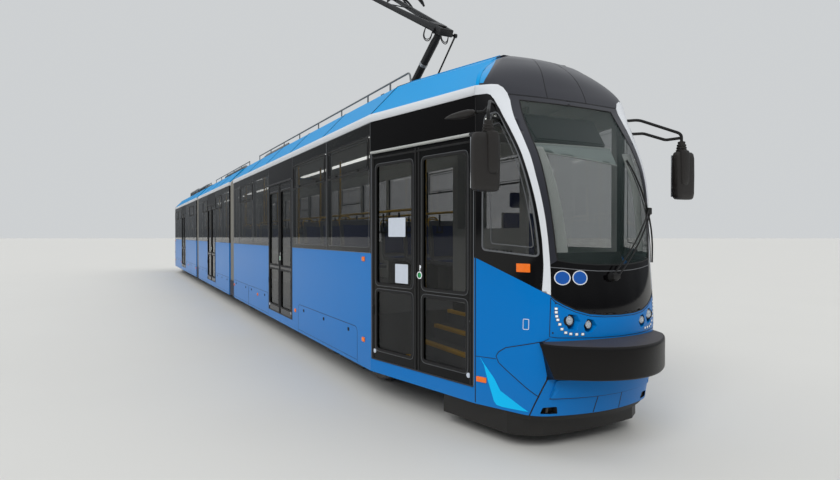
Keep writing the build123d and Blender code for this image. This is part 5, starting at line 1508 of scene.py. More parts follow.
def end_frame(x):
    """The frame on a section's end that the first fold is clamped to."""
    corners = ((-0.010, 0.002), (0.010, 0.002), (0.010, -0.075), (-0.010, -0.075))
    return lofted([[(x + along, *(point + away * dip)) for along, dip in corners]
                   for point, away in zip(*arch_route())])


near_frame, far_frame = end_frame(GAP[0] - 0.006), end_frame(GAP[1] + 0.006)
on_middle("middle_end_frames", near_frame + near_frame.mirrored(0), "bellows")
at_ends("end_frames", far_frame, "bellows")
for end, sign in ENDS.items():
    start, finish = GAP if sign == 1 else (-GAP[1], -GAP[0])
    low, high = ("middle_section", "front_section") if sign == 1 else ("rear_section", "middle_section")
    starts = [GAP[0] + PITCH * k for k in range(FOLDS)]
    places = [(x if sign == 1 else -x - PITCH, 0, 0) for x in starts]
    folds = copies(f"{end}_folds", fold, places, "bellows", None, replaces=[f"{end}_bellows"], slot="bellows")
    lower = piece(f"{end}_bellows_cover", cover if sign == 1 else cover.mirrored(0), "cover", None)
    for made in (folds, lower):
        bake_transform(made)
# %% [markdown]
# ## The roof
# Nobody on the platform sees much of the roof, but a part library does. The covers get overhanging
# lids, louvres and fans, pipes run between them, and the pantograph stands on ribbed insulators. All
# that repeats is one template on a list of places.

# %% Covers, louvres, fans and pipes
DECK_Z = ROOF_TOP
COVERS = {
    "front": ((4.0, 5.9, 0.56, 0.16), (6.3, 7.2, 0.42, 0.13)),
    "middle": ((-1.5, 1.5, 0.56, 0.18),),
    "rear": ((5.6, 8.1, 0.60, 0.22), (8.4, 10.9, 0.60, 0.26), (11.15, 12.7, 0.38, 0.15)),
}
FAN_HEIGHT = 0.15
CONDUITS = {"front": (3.75, 9.2), "middle": (-2.8, 2.8), "rear": (-9.0, -3.75)}
slat = turned_box((0.10, 0.012, 0.022), (0, 0, 0), radius=0.004)
eye = turned(((0.0, -0.004), (0.018, -0.004), (0.018, 0.006), (0.010, 0.012), (0.010, 0.030), (0.0, 0.034)),
             HERE, UP, 14)


def ring_shape(radius, width, height):
    """A flat ring with a rounded top."""
    section = [(radius + width * a, height * b)
               for a, b in ((0.0, 0.0), (0.0, 0.6), (0.3, 1.0), (0.7, 1.0), (1.0, 0.6), (1.0, 0.0))]
    turns = np.linspace(0, 2 * math.pi, 32, endpoint=False)
    return lofted([[(r * math.cos(a), r * math.sin(a), z) for r, z in section] for a in turns], closed=True)


fan = [ring_shape(0.150, 0.020, 0.030), ring_shape(0.095, 0.010, 0.018), ring_shape(0.045, 0.010, 0.018)]
fan += [turned_box((0.125, 0.012, 0.012), (0.092 * math.cos(a), 0.092 * math.sin(a), 0.010), yaw=a,
                   radius=0.003) for a in np.arange(8) * math.pi / 4]
fan = joined([*fan, turned(((0.0, 0.0), (0.04, 0.0), (0.04, 0.012), (0.0, 0.02)), steps=16)])

for section, covers in COVERS.items():
    sign = ENDS.get(section, 1)
    body = f"{section}_section"
    lids, slats, eyes, fans = [], [], [], []
    for x0, x1, half, height in covers:
        x0, x1 = sorted((sign * x0, sign * x1))
        top = DECK_Z + height
        parts = max(1, round((x1 - x0) / 0.9))
        for k in range(parts):
            a, b = x0 + (x1 - x0) * k / parts, x0 + (x1 - x0) * (k + 1) / parts
            lids.append(soft_box((a + 0.035, -half + 0.035, top - 0.004),
                                 (b - 0.035, half - 0.035, top + 0.014), 0.008))
            if height > FAN_HEIGHT:
                fans += [((a + b) / 2, y, top + 0.012) for y in (0.22, -0.22)]
        lids.append(soft_box((x0 - 0.012, -half - 0.012, DECK_Z), (x1 + 0.012, half + 0.012, DECK_Z + 0.025),
                             0.006))
        for side in (-1, 1):
            for x in np.arange(x0 + 0.16, x1 - 0.12, 0.15):
                slats += [(x, side * (half + 0.003), DECK_Z + z)
                          for z in np.arange(0.055, height - 0.045, 0.034)]
            eyes += [(x, side * (half - 0.09), top + 0.014) for x in (x0 + 0.12, x1 - 0.12)]
    piece(f"{section}_cover_lids", joined(lids), "dark_case", body)
    copies(f"{section}_louvres", slat, slats, "dark_case", body)
    copies(f"{section}_lifting_eyes", eye, eyes, "bolt", body)
    if fans:
        copies(f"{section}_fans", fan, fans, "plastic", body)
    low, high = CONDUITS[section]
    pipes = [[(x, y, DECK_Z + 0.016) for x in (low, high)] for y in (0.66, 0.625)]
    tubes(f"{section}_conduits", pipes, 0.014, "pantograph", body)
    clips = [(x, 0.6425, DECK_Z) for x in np.arange(low + 0.2, high - 0.1, 0.75)]
    copies(f"{section}_clips", soft_box((-0.015, -0.045, 0.0), (0.015, 0.045, 0.034), 0.004), clips, "clamp",
           body)

# %% Gutters, seams on the slope and the aerial
def slope_line(x):
    """Places up the roof's sloping side at a place along it."""
    past = max(0.0, x - TAPER_X)
    half = HALF - past * TAPER
    share = past / (CAB_X - TAPER_X)
    eaves = 0.86 + (0.43 - 0.86) * share
    deck = 0.70 + (0.30 - 0.70) * share
    return [(x, half - 0.004, 3.006), (x, eaves + 0.0015, 3.331), (x, deck + 0.001, 3.4015)]


roof_seams = [slope_line(x) for x in (5.25, 6.88, 8.51, 10.14, 11.77)]
deck_edge = [slope_line(x)[2] for x in (3.62, TAPER_X, CAB_X - 0.30)]
tubes_at_ends("roof_seams", both_paths(roof_seams), 0.0035, "rubber", sides=6)
tubes_at_ends("deck_edges", both_paths([deck_edge]), 0.005, "sky_plain")
middle_seams = [slope_line(x) for x in (-1.5, 0.0, 1.5)]
tubes("middle_roof_seams", both_paths(middle_seams), 0.0035, "rubber", "middle_section", sides=6)
middle_edge = [(x, *slope_line(0)[2][1:]) for x in (-2.98, 2.98)]
tubes("middle_deck_edges", both_paths([middle_edge]), 0.005, "sky_plain", "middle_section")
AERIALS = ((2.1, 0.0, DECK_Z), (-2.1, 0.25, DECK_Z))
for number, place in enumerate(AERIALS):
    fin = turned(((0.0, 0.0), (0.06, 0.0), (0.06, 0.02), (0.045, 0.035), (0.02, 0.05), (0.012, 0.20),
                  (0.0, 0.21)), place, steps=20)
    on_middle(f"aerial_{number + 1}", fin, "plastic")

# %% [markdown]
# The rail over the passenger doors runs on to the front, past the current collector. It is one bar with
# bent ends and short posts, all of them paths that one tube group turns into bars.

# %% Front rail
RAIL = (-0.64, 3.55)
RAIL_POSTS = (10.40, 11.10)
rail_paths = [bent([(9.30, *RAIL), (11.62, *RAIL), (11.66, RAIL[0], DECK_Z)], 0.05)]
rail_paths += [[(x, RAIL[0], DECK_Z), (x, *RAIL)] for x in RAIL_POSTS]
tubes("front_rail", rail_paths, 0.011, "equipment", "front_section", sides=12)
rail_feet = [turned(((0.0, 0.0), (0.028, 0.0), (0.028, 0.006), (0.0, 0.006)), (x, RAIL[0], 3.4005), steps=20)
             for x in (*RAIL_POSTS, 11.66)]
on_front("front_rail_feet", joined(rail_feet), "equipment")
# %% [markdown]
# ## Pantograph
# Its solids carry the motion, and the details ride on the body they belong to: ribbed insulators and
# springs on the base, clamps and cables on the arms, carbon strips and horns on the head. A spring is
# only a path, a helix, that the round-bar group follows.

# %% Pantograph details
PAN_BASE = np.array((10.200, 0.0, 3.600))
PAN_KNEE = np.array((11.180, 0.0, 4.250))
PAN_HEAD = np.array((9.030, 0.0, 5.520))


def helix(start, end, radius, coils, steps=14):
    """A spring's path between two places."""
    start, end = np.array(start), np.array(end)
    around, _ = spokes(end - start, steps)
    count = int(coils * steps)
    return [start + (end - start) * k / count + radius * around[k % steps] for k in range(count + 1)]


def between_places(a, b, share):
    return np.array(a) + (np.array(b) - np.array(a)) * share


FEET = [(x, y) for x in (9.700, 10.760) for y in (-0.4, 0.4)]
shed = turned(((0.040, 0.0), (0.066, 0.002), (0.068, 0.006), (0.046, 0.014), (0.040, 0.016)))
sheds = [(x, y, DECK_Z + 0.008 + 0.019 * k) for x, y in FEET for k in range(4)]
copies("pantograph_insulators", shed, sheds, "insulator", "front_section")
nut = turned(((0.0, 0.0), (0.030, 0.0), (0.030, 0.004), (0.016, 0.004), (0.016, 0.018), (0.0, 0.018)),
             steps=6)
copies("pantograph_nuts", nut, [(x, y, 3.5401) for x, y in FEET], "bolt", "front_section")
springs = [helix((9.780, y, 3.585), (10.100, y, 3.585), 0.028, 14) for y in (-0.200, 0.200)]
tubes("pantograph_springs", springs, 0.006, "spring", "front_section", sides=6)
holders = [turned_box((0.05, 0.075, 0.075), (x, side * 0.200, 3.573), radius=0.008)
           for x in (9.755, 10.125) for side in (-1, 1)]
holders.append(turned_box((0.26, 0.16, 0.09), (9.90, 0.0, 3.53), radius=0.012))
holders += [turned_box((0.34, 0.030, 0.030), (9.95, side * 0.200, 3.527), radius=0.005) for side in (-1, 1)]
on_front("pantograph_drive", joined(holders), "dark_case")
tubes("pantograph_feed", [bent([(9.72, 0.30, 3.54), (9.60, 0.34, 3.60), (9.45, 0.30, 3.50),
                                (9.30, 0.20, 3.425), (7.25, 0.20, 3.425)], 0.08)],
      0.013, "pantograph", "front_section", sides=10)


def collar_on(a, b, share, radius, length):
    """A clamp round a bar between two places."""
    half = length / 2
    profile = ((0.0, -half), (radius * 0.86, -half), (radius, -half + 0.006), (radius, half - 0.006),
               (radius * 0.86, half), (0.0, half))
    return turned(profile, between_places(a, b, share), np.array(b) - np.array(a))


piece("lower_arm_clamp", collar_on(PAN_BASE, PAN_KNEE, 0.55, 0.0545, 0.05), "clamp", "pantograph_lower_arm")
SLEEVE = ((0.0, 0.04), (0.046, 0.04), (0.046, 0.12), (0.051, 0.15), (0.051, 1.02), (0.046, 1.05),
          (0.046, 1.12), (0.042, 1.13), (0.0, 1.13))
piece("lower_arm_sleeve", turned(SLEEVE, PAN_BASE, PAN_KNEE - PAN_BASE, 28), "pantograph",
      "pantograph_lower_arm")
KNEE_Y, HEAD_Y = 0.075, 0.300
LIFT = np.array((0.508, 0.0, 0.861)) * 0.020


def girder(start, end, half_start, half_end):
    """A tapering box beam with bevelled edges between two places, deeper than it is wide."""
    side, up, ahead = basis_of(np.array(end) - np.array(start))
    corners = ((1, -0.7), (1, 0.7), (0.7, 1), (-0.7, 1), (-1, 0.7), (-1, -0.7), (-0.7, -1), (0.7, -1))
    return lofted([[np.array(place) + side * wide * a + up * high * b for a, b in corners]
                   for place, (wide, high) in ((start, half_start), (end, half_end))])


upper, bars = [], []
for side in (-1, 1):
    a = PAN_KNEE + (0, side * KNEE_Y, 0)
    b = PAN_HEAD + (0, side * HEAD_Y, 0)
    start = between_places(a, b, -0.062) + LIFT
    upper.append(girder(start, between_places(a, b, 0.975), (0.0155, 0.045), (0.021, 0.024)))
    upper.append(collar_on(a, b, 0.972, 0.030, 0.05))
    bars.append((a, b))
upper.append(turned_box((0.17, 0.180, 0.022), PAN_KNEE + (-0.055, 0, 0.100), pitch=0.53, radius=0.008))
upper.append(turned_box((0.04, 0.180, 0.088), PAN_KNEE + (0.143, 0, -0.062), pitch=0.53, radius=0.010))
piece("upper_arm_girders", joined(upper), "pantograph", "pantograph_upper_arm")
cross = [[between_places(*ends, share) for ends in bars] for share in (0.35, 0.62, 0.85)]
tubes("upper_arm_braces", cross, 0.008, "pantograph", "pantograph_upper_arm", sides=10)
loops = [bent([PAN_KNEE + offset for offset in (
    (-0.17, side * 0.112, 0.085), (-0.20 - reach, side * 0.128, -0.01), (-0.13, side * 0.132, -0.085 - reach),
    (-0.03, side * 0.122, -0.10 - reach), (0.015, side * 0.112, -0.01))], 0.09, 6)
    for side in (-1, 1) for reach in (0.0, 0.022)]
tubes("knee_shunts", loops, 0.006, "rubber", "pantograph_upper_arm")
carbons, horns, boxes = [], [], []
HORN = ((0.55, 0.112), (0.66, 0.08), (0.78, -0.02), (0.825, -0.125))
for x in (PAN_HEAD[0] - 0.17, PAN_HEAD[0] + 0.17):
    carbons.append(soft_box((x - 0.022, -0.55, PAN_HEAD[2] + 0.128), (x + 0.022, 0.55, PAN_HEAD[2] + 0.150),
                            0.006))
    for side in (-1, 1):
        horns.append(bent([(x, side * y, PAN_HEAD[2] + z) for y, z in HORN], 0.12, 6))
        boxes.append(turned_box((0.05, 0.05, 0.055), (x, side * 0.34, PAN_HEAD[2] + 0.045), radius=0.008))
piece("head_carbons", joined(carbons), "carbon", "pantograph_head")
tubes("head_horns", horns, 0.0165, "pantograph", "pantograph_head", sides=12)
piece("head_springs", joined(boxes), "clamp", "pantograph_head")
# %% [markdown]
# ## Wheels and bogies
# A tram wheel is a turned part, so its section is written once and turned with enough steps to look
# round at the rim. The axle, wheels, hub covers and brake disc roll together and make one body. The
# bogie frames keep their solids; springs, dampers, axle boxes, brake calipers, motor fins and bolts
# are added round them from one list for each bogie.

# %% Wheelsets
AXLE_Z = 0.352
HALF_BASE = 0.9
BOGIES = {"bogie_1": (10.2, True), "bogie_2": (3.3, False), "bogie_3": (-3.3, False),
          "bogie_4": (-10.2, True)}
WHEEL = (
    # radius, distance from the middle of the track
    (0.070, 0.580), (0.070, 0.698), (0.118, 0.700), (0.130, 0.706), (0.134, 0.722), (0.150, 0.727),
    (0.240, 0.727), (0.258, 0.718), (0.264, 0.692), (0.272, 0.685), (0.342, 0.685), (0.350, 0.689),
    (0.352, 0.696), (0.348, 0.706), (0.334, 0.714), (0.328, 0.724), (0.325, 0.760), (0.323, 0.792),
    (0.319, 0.796), (0.268, 0.796), (0.261, 0.790), (0.256, 0.762), (0.246, 0.754), (0.150, 0.754),
    (0.136, 0.760), (0.130, 0.796), (0.124, 0.800), (0.030, 0.800), (0.0, 0.797),
)
TREAD = ((0.340, 0.7105), (0.3338, 0.7135), (0.3286, 0.7235), (0.3256, 0.760), (0.3236, 0.7915),
         (0.3226, 0.7925), (0.300, 0.78), (0.300, 0.72))
hexagon = turned(((0.0, 0.0), (0.011, 0.0), (0.011, 0.006), (0.009, 0.008), (0.0, 0.008)), steps=6)
disc_ring = turned(((0.115, 0.288), (0.188, 0.288), (0.190, 0.290), (0.190, 0.304), (0.160, 0.306),
                    (0.160, 0.314), (0.190, 0.316), (0.190, 0.330), (0.188, 0.332), (0.115, 0.332)),
                   HERE, ASIDE, 56)
hub_bolt = turned(((0.0, 0.0), (0.012, 0.0), (0.012, 0.010), (0.0, 0.011)), HERE, ASIDE, 6)
wheel = turned(WHEEL, HERE, ASIDE, 72)
axle = turned(((0.070, -0.60), (0.070, -0.36), (0.082, -0.35), (0.082, 0.35), (0.070, 0.36), (0.070, 0.60)),
              HERE, ASIDE, 40)
hub = turned(((0.088, 0.80), (0.088, 0.806), (0.080, 0.812), (0.030, 0.812), (0.026, 0.818), (0.0, 0.818)),
             HERE, ASIDE, 36)
disc_hub = turned(((0.083, 0.270), (0.118, 0.274), (0.120, 0.300), (0.118, 0.340), (0.083, 0.345)), HERE,
                  ASIDE, 36)
spots = [(r * math.sin(a), y, r * math.cos(a)) for r, y, count in ((0.200, 0.752, 12), (0.062, 0.809, 6))
         for a in np.linspace(0, 2 * math.pi, count, endpoint=False)]
bolts = joined(hub_bolt.moved(spot) for spot in spots).both()
pair = (wheel + hub).both() + axle
treads = turned(TREAD, HERE, ASIDE, 72).both()
axles = [(x0, turn) for x0, _ in BOGIES.values() for turn in (1, -1)]
for number, (x0, turn) in enumerate(axles):
    body = f"wheelset_{number + 1}"
    discs = disc_ring + disc_hub
    discs = discs if turn == -1 else discs.mirrored(1)
    for part, shape, finish, stands_for in (("wheels", pair, "wheel", [body]),
                                            ("treads", treads, "chrome", ()),
                                            ("disc", discs, "bolt", ()), ("bolts", bolts, "bolt", ())):
        piece(f"{body}_{part}", shape.moved((x0 + turn * HALF_BASE, 0, AXLE_Z)), finish, body,
              replaces=stands_for)

# %% Springs, dampers, boxes and brakes
BEAM_Y = 0.5
SHOE_Y = 0.75
HANGER_X = 0.3
DAMPER_Y = 0.405
DISC_Y = 0.31
NUT_CIRCLE = 0.115
MOTOR_X = 0.47
HOSE = ((0.22, 0.30, 0.62), (0.30, 0.33, 0.60), (0.52, 0.42, 0.585), (0.80, 0.44, 0.54), (0.90, 0.44, 0.48))


def ring_on(place, inner, outer, thick, steps=36):
    """A flat ring about a sideways axis, the cover of an axle box."""
    profile = ((inner, -thick / 2), (outer - 0.006, -thick / 2), (outer, 0.0), (outer - 0.006, thick / 2),
               (inner, thick / 2))
    around, ahead = spokes(ASIDE, steps)
    return lofted([[np.array(place) + ahead * far + spoke * r for r, far in profile] for spoke in around],
                  closed=True)


def bogie_dressing(name, x0, powered):
    """The pieces of one bogie, by finish."""
    coils, rods, sleeves, cast, dark, hoses, nuts = [], [], [], [], [], [], []
    for side in (-1, 1):
        y = side * BEAM_Y
        coils.append(helix((x0, y, 0.622), (x0, y, 0.706), 0.104, 3.5, 20))
        dark.append(turned(((0.0, 0.0), (0.128, 0.0), (0.128, 0.008), (0.118, 0.012), (0.0, 0.012)),
                           (x0, y, 0.608), steps=32))
        for turn in (-1, 1):
            x = x0 + turn * HALF_BASE
            for face in (y - 0.077, y + 0.077):
                cast.append(ring_on((x, face, AXLE_Z), 0.080, 0.132, 0.018))
                nuts += [(x + NUT_CIRCLE * math.sin(a), face + math.copysign(0.009, face - y),
                          AXLE_Z + NUT_CIRCLE * math.cos(a)) for a in np.arange(0.4, 6.2, math.pi / 3)]
            # Rubber spring stacks over the axle boxes
            for k in range(4):
                dark.append(soft_box((x - 0.075 + 0.006 * k, y - 0.055, 0.497 + 0.016 * k),
                                     (x + 0.075 - 0.006 * k, y + 0.055, 0.508 + 0.016 * k), 0.004))
            cast.append(soft_box((x - 0.060, y - 0.065, 0.558), (x + 0.060, y + 0.065, 0.574), 0.006))
            # Slanting damper
            rod = ((x0 + turn * 0.60, side * DAMPER_Y, 0.50), (x0 + turn * 0.24, side * DAMPER_Y, 0.665))
            rods.append(rod)
            sleeves.append([between_places(*rod, share) for share in (0.12, 0.58)])
            # Caliper pads beside the disc
            cx = x - turn * 0.150
            face = -turn * DISC_Y
            if side == 1:
                for lean in (-0.045, 0.045):
                    cast.append(turned_box((0.085, 0.030, 0.150), (cx, face + lean, AXLE_Z + 0.010),
                                           radius=0.008))
                    dark.append(turned_box((0.120, 0.018, 0.040),
                                           (cx - turn * 0.06, face + lean, AXLE_Z + 0.02),
                                           radius=0.006))
                cast.append(turned_box((0.080, 0.170, 0.080), (cx - turn * 0.125, face, AXLE_Z + 0.04),
                                       radius=0.014))
            # Springs that hold up the track brake
            hang_x, hang_y = x0 + turn * HANGER_X, side * SHOE_Y
            coils.append(helix((hang_x, hang_y, 0.160), (hang_x, hang_y, 0.300), 0.046, 6, 12))
            dark.append(soft_box((hang_x - 0.06, hang_y - 0.045, 0.144),
                                 (hang_x + 0.06, hang_y + 0.045, 0.160), 0.005))
            nuts += [(hang_x, side * 0.722, 0.541), (hang_x, side * 0.778, 0.541)]
        # Shoes of the track brake
        for k in range(5):
            a = x0 - 0.415 + 0.167 * k
            cast.append(soft_box((a, side * SHOE_Y - 0.042, 0.040), (a + 0.161, side * SHOE_Y + 0.042, 0.058),
                                 0.004))
        hoses.append(bent([(x0 - back, side * out, z) for back, out, z in HOSE], 0.06))
    if powered:
        for turn in (-1, 1):
            y0, y1 = sorted((turn * -0.300, turn * 0.220))
            for y in np.arange(y0 + 0.04, y1 - 0.02, 0.036):
                cast.append(ring_on((x0 + turn * MOTOR_X, y, 0.400), 0.165, 0.182, 0.012, 40))
            cast.append(turned_box((0.18, 0.14, 0.050), (x0 + turn * MOTOR_X, (y0 + y1) / 2, 0.590),
                                   radius=0.012))
            for k in (-1, 0, 1):
                start = (x0 + turn * 0.420, (y0 + y1) / 2 + 0.035 * k, 0.610)
                hoses.append(bent([start, (start[0] - turn * 0.06, start[1], 0.655),
                                   (x0 + turn * 0.20, start[1], 0.665)], 0.04))
    nuts += [(x0 + a * 0.19, b * 0.38, 0.700) for a in (-1, 1) for b in (-1, -0.33, 0.33, 1)]
    piece(f"{name}_castings", joined(cast), "bolt", name)
    piece(f"{name}_rubbers", joined(dark), "spring", name)
    for part, paths, radius, finish, sides in (
            ("springs", coils, 0.0085, "spring", 8), ("damper_rods", rods, 0.011, "chrome", 12),
            ("dampers", sleeves, 0.026, "frame", 18), ("hoses", hoses, 0.009, "rubber", 8)):
        tubes(f"{name}_{part}", paths, radius, finish, name, sides=sides)
    # Nuts below the frame stand on its sides, facing away from the beam
    lean = [0 if z > 0.5 else math.copysign(math.pi / 2, y if abs(y) <= BEAM_Y else -y) for _, y, z in nuts]
    copies(f"{name}_nuts", hexagon, nuts, "bolt", name, [(a, 0, 0) for a in lean])


for name, (x0, powered) in BOGIES.items():
    bogie_dressing(name, x0, powered)
# %% [markdown]
# ## Seats
# A tram seat is a moulded shell with thin upholstered pads in it. The shell is one lofted section
# with soft edges. The pads are crowned: high in the middle, pulled in at the sewn edge, so they catch
# the light as cloth does. One seat is modelled and Geometry Nodes sets it on every place of a table.

# %% Passenger seats
HIGH_FLOOR, LOW_FLOOR = 0.90, 0.44
CEILING = 3.13
SEAT = 0.43
END_ROWS = (4.35, 5.15, 5.95, 9.0, 9.8, 10.6)
MIDDLE_ROWS = (-2.75, 2.35)
SEAT_LEFT = (0.185, 0.625, -1.08)


def crowned(length, width, thick, crown):
    """A closed pad lying flat: high in the middle and pulled in at its seam."""
    cells, power = 10, 2.6
    us = np.sin(np.linspace(-math.pi / 2, math.pi / 2, cells + 1))
    points, faces = [], []
    for top in (1, -1):
        for u in us:
            for v in us:
                fall = max(0.0, (1 - abs(u)**power) * (1 - abs(v)**power)) ** 0.5
                pull = 1 - 0.035 * (1 - min(abs(u), abs(v))) * max(abs(u), abs(v))**6
                z = thick * 0.5 + (crown + thick * 0.5) * fall if top == 1 else thick * (0.5 - 0.5 * fall)
                points.append((u * length / 2 * pull, v * width / 2 * pull, z))
    n = cells + 1
    for layer in (0, 1):
        for i in range(cells):
            for j in range(cells):
                a = layer * n * n + i * n + j
                quad = (a, a + n, a + n + 1, a + 1)
                faces.append(quad if layer == 0 else quad[::-1])
    return Shape(points, faces)


def tilted(shape, angle, place):
    """A shape turned about the sideways axis and moved."""
    c, s = math.cos(angle), math.sin(angle)
    return Shape(shape.points @ np.array(((c, 0, -s), (0, 1, 0), (s, 0, c))).T + place, shape.faces)


# The shell's section from the front edge, under the pad and up the back: (x, z), and its thickness line
SHELL = ((0.425, 0.000), (0.428, 0.030), (0.420, 0.046), (0.380, 0.050), (0.100, 0.048), (0.050, 0.060),
         (0.020, 0.095), (-0.010, 0.250), (-0.030, 0.420), (-0.048, 0.560), (-0.060, 0.594), (-0.082, 0.598),
         (-0.090, 0.585), (-0.072, 0.420), (-0.050, 0.240), (-0.015, 0.060), (0.030, 0.010), (0.090, 0.000))
SHELL_MIDDLE = np.array((0.17, 0.20))
away = np.array(SHELL) - SHELL_MIDDLE
away /= np.linalg.norm(away, axis=1, keepdims=True)
rings = []
for v, inset in ((-1.0, 0.016), (-0.97, 0.005), (-0.90, 0.0), (0.90, 0.0), (0.97, 0.005), (1.0, 0.016)):
    rings.append([(x, SEAT / 2 + v * 0.213, z) for x, z in SHELL - away * inset])
shell = lofted(rings)
cushion = tilted(crowned(0.36, 0.37, 0.014, 0.014), 0.0, (0.225, 0.215, 0.047))
pads = cushion + tilted(crowned(0.42, 0.36, 0.014, 0.012), math.radians(97.5), (0.012, 0.215, 0.325))
legs = soft_box((0.075, 0.06, -0.43), (0.355, 0.37, 0.004), 0.02)
HANDLE = bent([(-0.066, 0.015, 0.50), (-0.075, -0.004, 0.585), (-0.095, 0.030, 0.640), (-0.095, 0.130, 0.640),
               (-0.080, 0.165, 0.585)], 0.03)


def seats(section, sign, rows, body):
    """All seats of a section, their pads, shells, pedestals and handles."""
    places = [(x, y, HIGH_FLOOR + SEAT) for x in rows for y in SEAT_LEFT]
    if sign < 0:
        places = [(-x, y + SEAT, z) for x, y, z in places]
    turns = [(0, 0, 0 if sign > 0 else math.pi)] * len(places)
    copies(f"{section}_seat_shells", shell, places, "shell", body, turns, replaces=[f"{section}_seats"],
           slot="seats")
    padding = copies(f"{section}_seat_pads", pads, places, "seat", body, turns, slot="seats")
    copies(f"{section}_seat_pedestals", legs, places, "frame", body, turns)
    handles = [[(x + sign * a, y + sign * b, z + c) for a, b, c in HANDLE] for x, y, z in places]
    tubes(f"{section}_seat_handles", handles, 0.010, "pole", body, sides=10)


seats("front", 1, END_ROWS, "front_section")
seats("rear", -1, END_ROWS, "rear_section")
seats("middle", 1, MIDDLE_ROWS, "middle_section")

# %% [markdown]
# ## The driver's seat
# This one has thick foam pads, and foam under cloth bulges between its seams. That is what the cloth
# solver is good at: the block is remeshed evenly, blown up a little by pressure with gravity off, and
# the result is kept as plain mesh. How far a point may move is capped, so it still fits its space.

# %% Stuffed pads
PRESSURE = 4.0
STIFFNESS = 12
CLOTH_STEPS = 20
MOST_SWELL = 0.016
VOXEL = 0.012


def stuffed(name, shape):
    pad = linked(name, shape.mesh(name))
    remesh = pad.modifiers.new("even", "REMESH")
    remesh.mode = "VOXEL"
    remesh.voxel_size = VOXEL
    even = evaluated(pad)
    rest = np.array([vertex.co[:] for vertex in even.vertices])
    settings = pad.modifiers.new("swell", "CLOTH").settings
    settings.use_pressure = True
    settings.uniform_pressure_force = PRESSURE
    settings.effector_weights.gravity = 0
    settings.tension_stiffness = STIFFNESS
    for step in range(CLOTH_STEPS):
        bpy.context.scene.frame_set(step + 1)
    swollen = evaluated(pad)
    bpy.context.scene.frame_set(1)
    move = np.array([vertex.co[:] for vertex in swollen.vertices]) - rest
    move *= np.minimum(1.0, MOST_SWELL / np.maximum(np.linalg.norm(move, axis=1, keepdims=True), 1e-9))
    swollen.vertices.foreach_set("co", (rest + move).ravel())
    pad.modifiers.new("smooth", "SMOOTH").iterations = 4
    smooth = evaluated(pad)
    smooth.materials.clear()
    smooth.materials.append(FINISHES["seat"])
    shaded(smooth, math.radians(60))
    placed(pad, "front_section", slot="seats")


DRIVER_X, DRIVER_Y = 12.62, 0.07
seat_top = HIGH_FLOOR + 0.49
for name, size, ahead, rise, radius in (("cushion", (0.42, 0.42, 0.070), 0.245, -0.040, 0.03),
                                        ("back", (0.072, 0.40, 0.56), 0.060, 0.300, 0.03),
                                        ("headrest", (0.050, 0.21, 0.16), 0.045, 0.695, 0.022)):
    stuffed(f"driver_{name}", turned_box(size, (DRIVER_X + ahead, DRIVER_Y, seat_top + rise), radius=radius))
under = [soft_box((DRIVER_X + x0, y0, seat_top + z0), (DRIVER_X + x1, y1, seat_top + z1), radius)
         for x0, x1, y0, y1, z0, z1, radius in (
             (0.03, 0.45, -0.13, 0.27, -0.088, -0.070, 0.008), (0.0, 0.022, -0.11, 0.25, -0.02, 0.57, 0.010),
             (0.05, 0.36, 0.29, 0.335, 0.14, 0.18, 0.016), (0.05, 0.36, -0.195, -0.150, 0.14, 0.18, 0.016))]
SEAT_FOOT = ((0.0, 0.0), (0.15, 0.0), (0.15, 0.02), (0.075, 0.04), (0.068, 0.10), (0.080, 0.14),
             (0.068, 0.18), (0.080, 0.22), (0.068, 0.26), (0.080, 0.30), (0.075, 0.39), (0.11, 0.40),
             (0.0, 0.40))
under.insert(2, turned(SEAT_FOOT, (DRIVER_X + 0.23, DRIVER_Y, HIGH_FLOOR), UP, 28))
on_front("driver_seat_frame", joined(under), "trim")

# %% [markdown]
# ## Cab and saloon
# What shows through the glass makes a tram look real: a desk with screens, a sun blind, yellow rails
# and step edges, and the light strips of the ceiling, which glow a little and light the saloon.

# %% Desk, displays and blind
def nose_panel(corners, depth, thick, radius=0.012):
    """A panel that follows the glass at a distance behind it."""
    return skin(rounded(corners, radius), out=-depth, thick=thick, spacing=0.04)


DISPLAY = ((-0.62, 2.805), (-0.62, 2.585), (0.42, 2.585), (0.42, 2.805))
at_ends("destination_face", nose_panel(DISPLAY, 0.075, 0.012), "display")
at_ends("destination_case", nose_panel(grown_outline(DISPLAY, 0.03), 0.088, 0.05), "trim")
BLIND = ((-0.73, 2.515), (0.46, 2.525), (0.46, 2.365), (-0.73, 2.445))
at_ends("sun_blind", nose_panel(BLIND, 0.060, 0.003, 0.006), "blind")
blind_bars = [hull_out(np.linspace(-0.74, 0.47, 16), np.linspace(z0, z1, 16), -0.060)
              for z0, z1 in ((2.518, 2.528), (2.443, 2.362))]
tubes_at_ends("sun_blind_bars", blind_bars, 0.006, "lining")
# Ribbed lining on the posts beside the windscreen
RIB_S = np.linspace(0.66, 0.80, 8)
post = nose_panel(((0.64, 1.60), (0.64, 2.48), (0.82, 2.48), (0.82, 1.60)), 0.045, 0.006)
ribs = [skin([(s - 0.008, 1.62), (s + 0.008, 1.62), (s + 0.008, 2.46), (s - 0.008, 2.46)], out=-0.041,
             thick=0.008, spacing=0.08) for s in RIB_S]
at_ends("post_lining", joined([post, *ribs]).both(), "lining")
cheek = nose_panel(((1.00, 0.60), (1.00, 1.40), (2.24, 1.20), (2.24, 0.60)), 0.035, 0.004, 0.02)
at_ends("cab_cheeks", cheek.both(), "lining")
ceiling_panel = [(-0.80, 2.93), (0.80, 2.93), (1.60, 3.02), (1.55, 3.30), (-1.55, 3.30), (-1.60, 3.02)]
at_ends("cab_ceiling", skin(ceiling_panel, out=-0.075, thick=0.004, spacing=0.08), "lining")
DESK_TOP = 1.43
desk = [turned_box((0.30, 0.92, 0.030), (13.66, 0, DESK_TOP + 0.010), pitch=0.05, radius=0.012)]
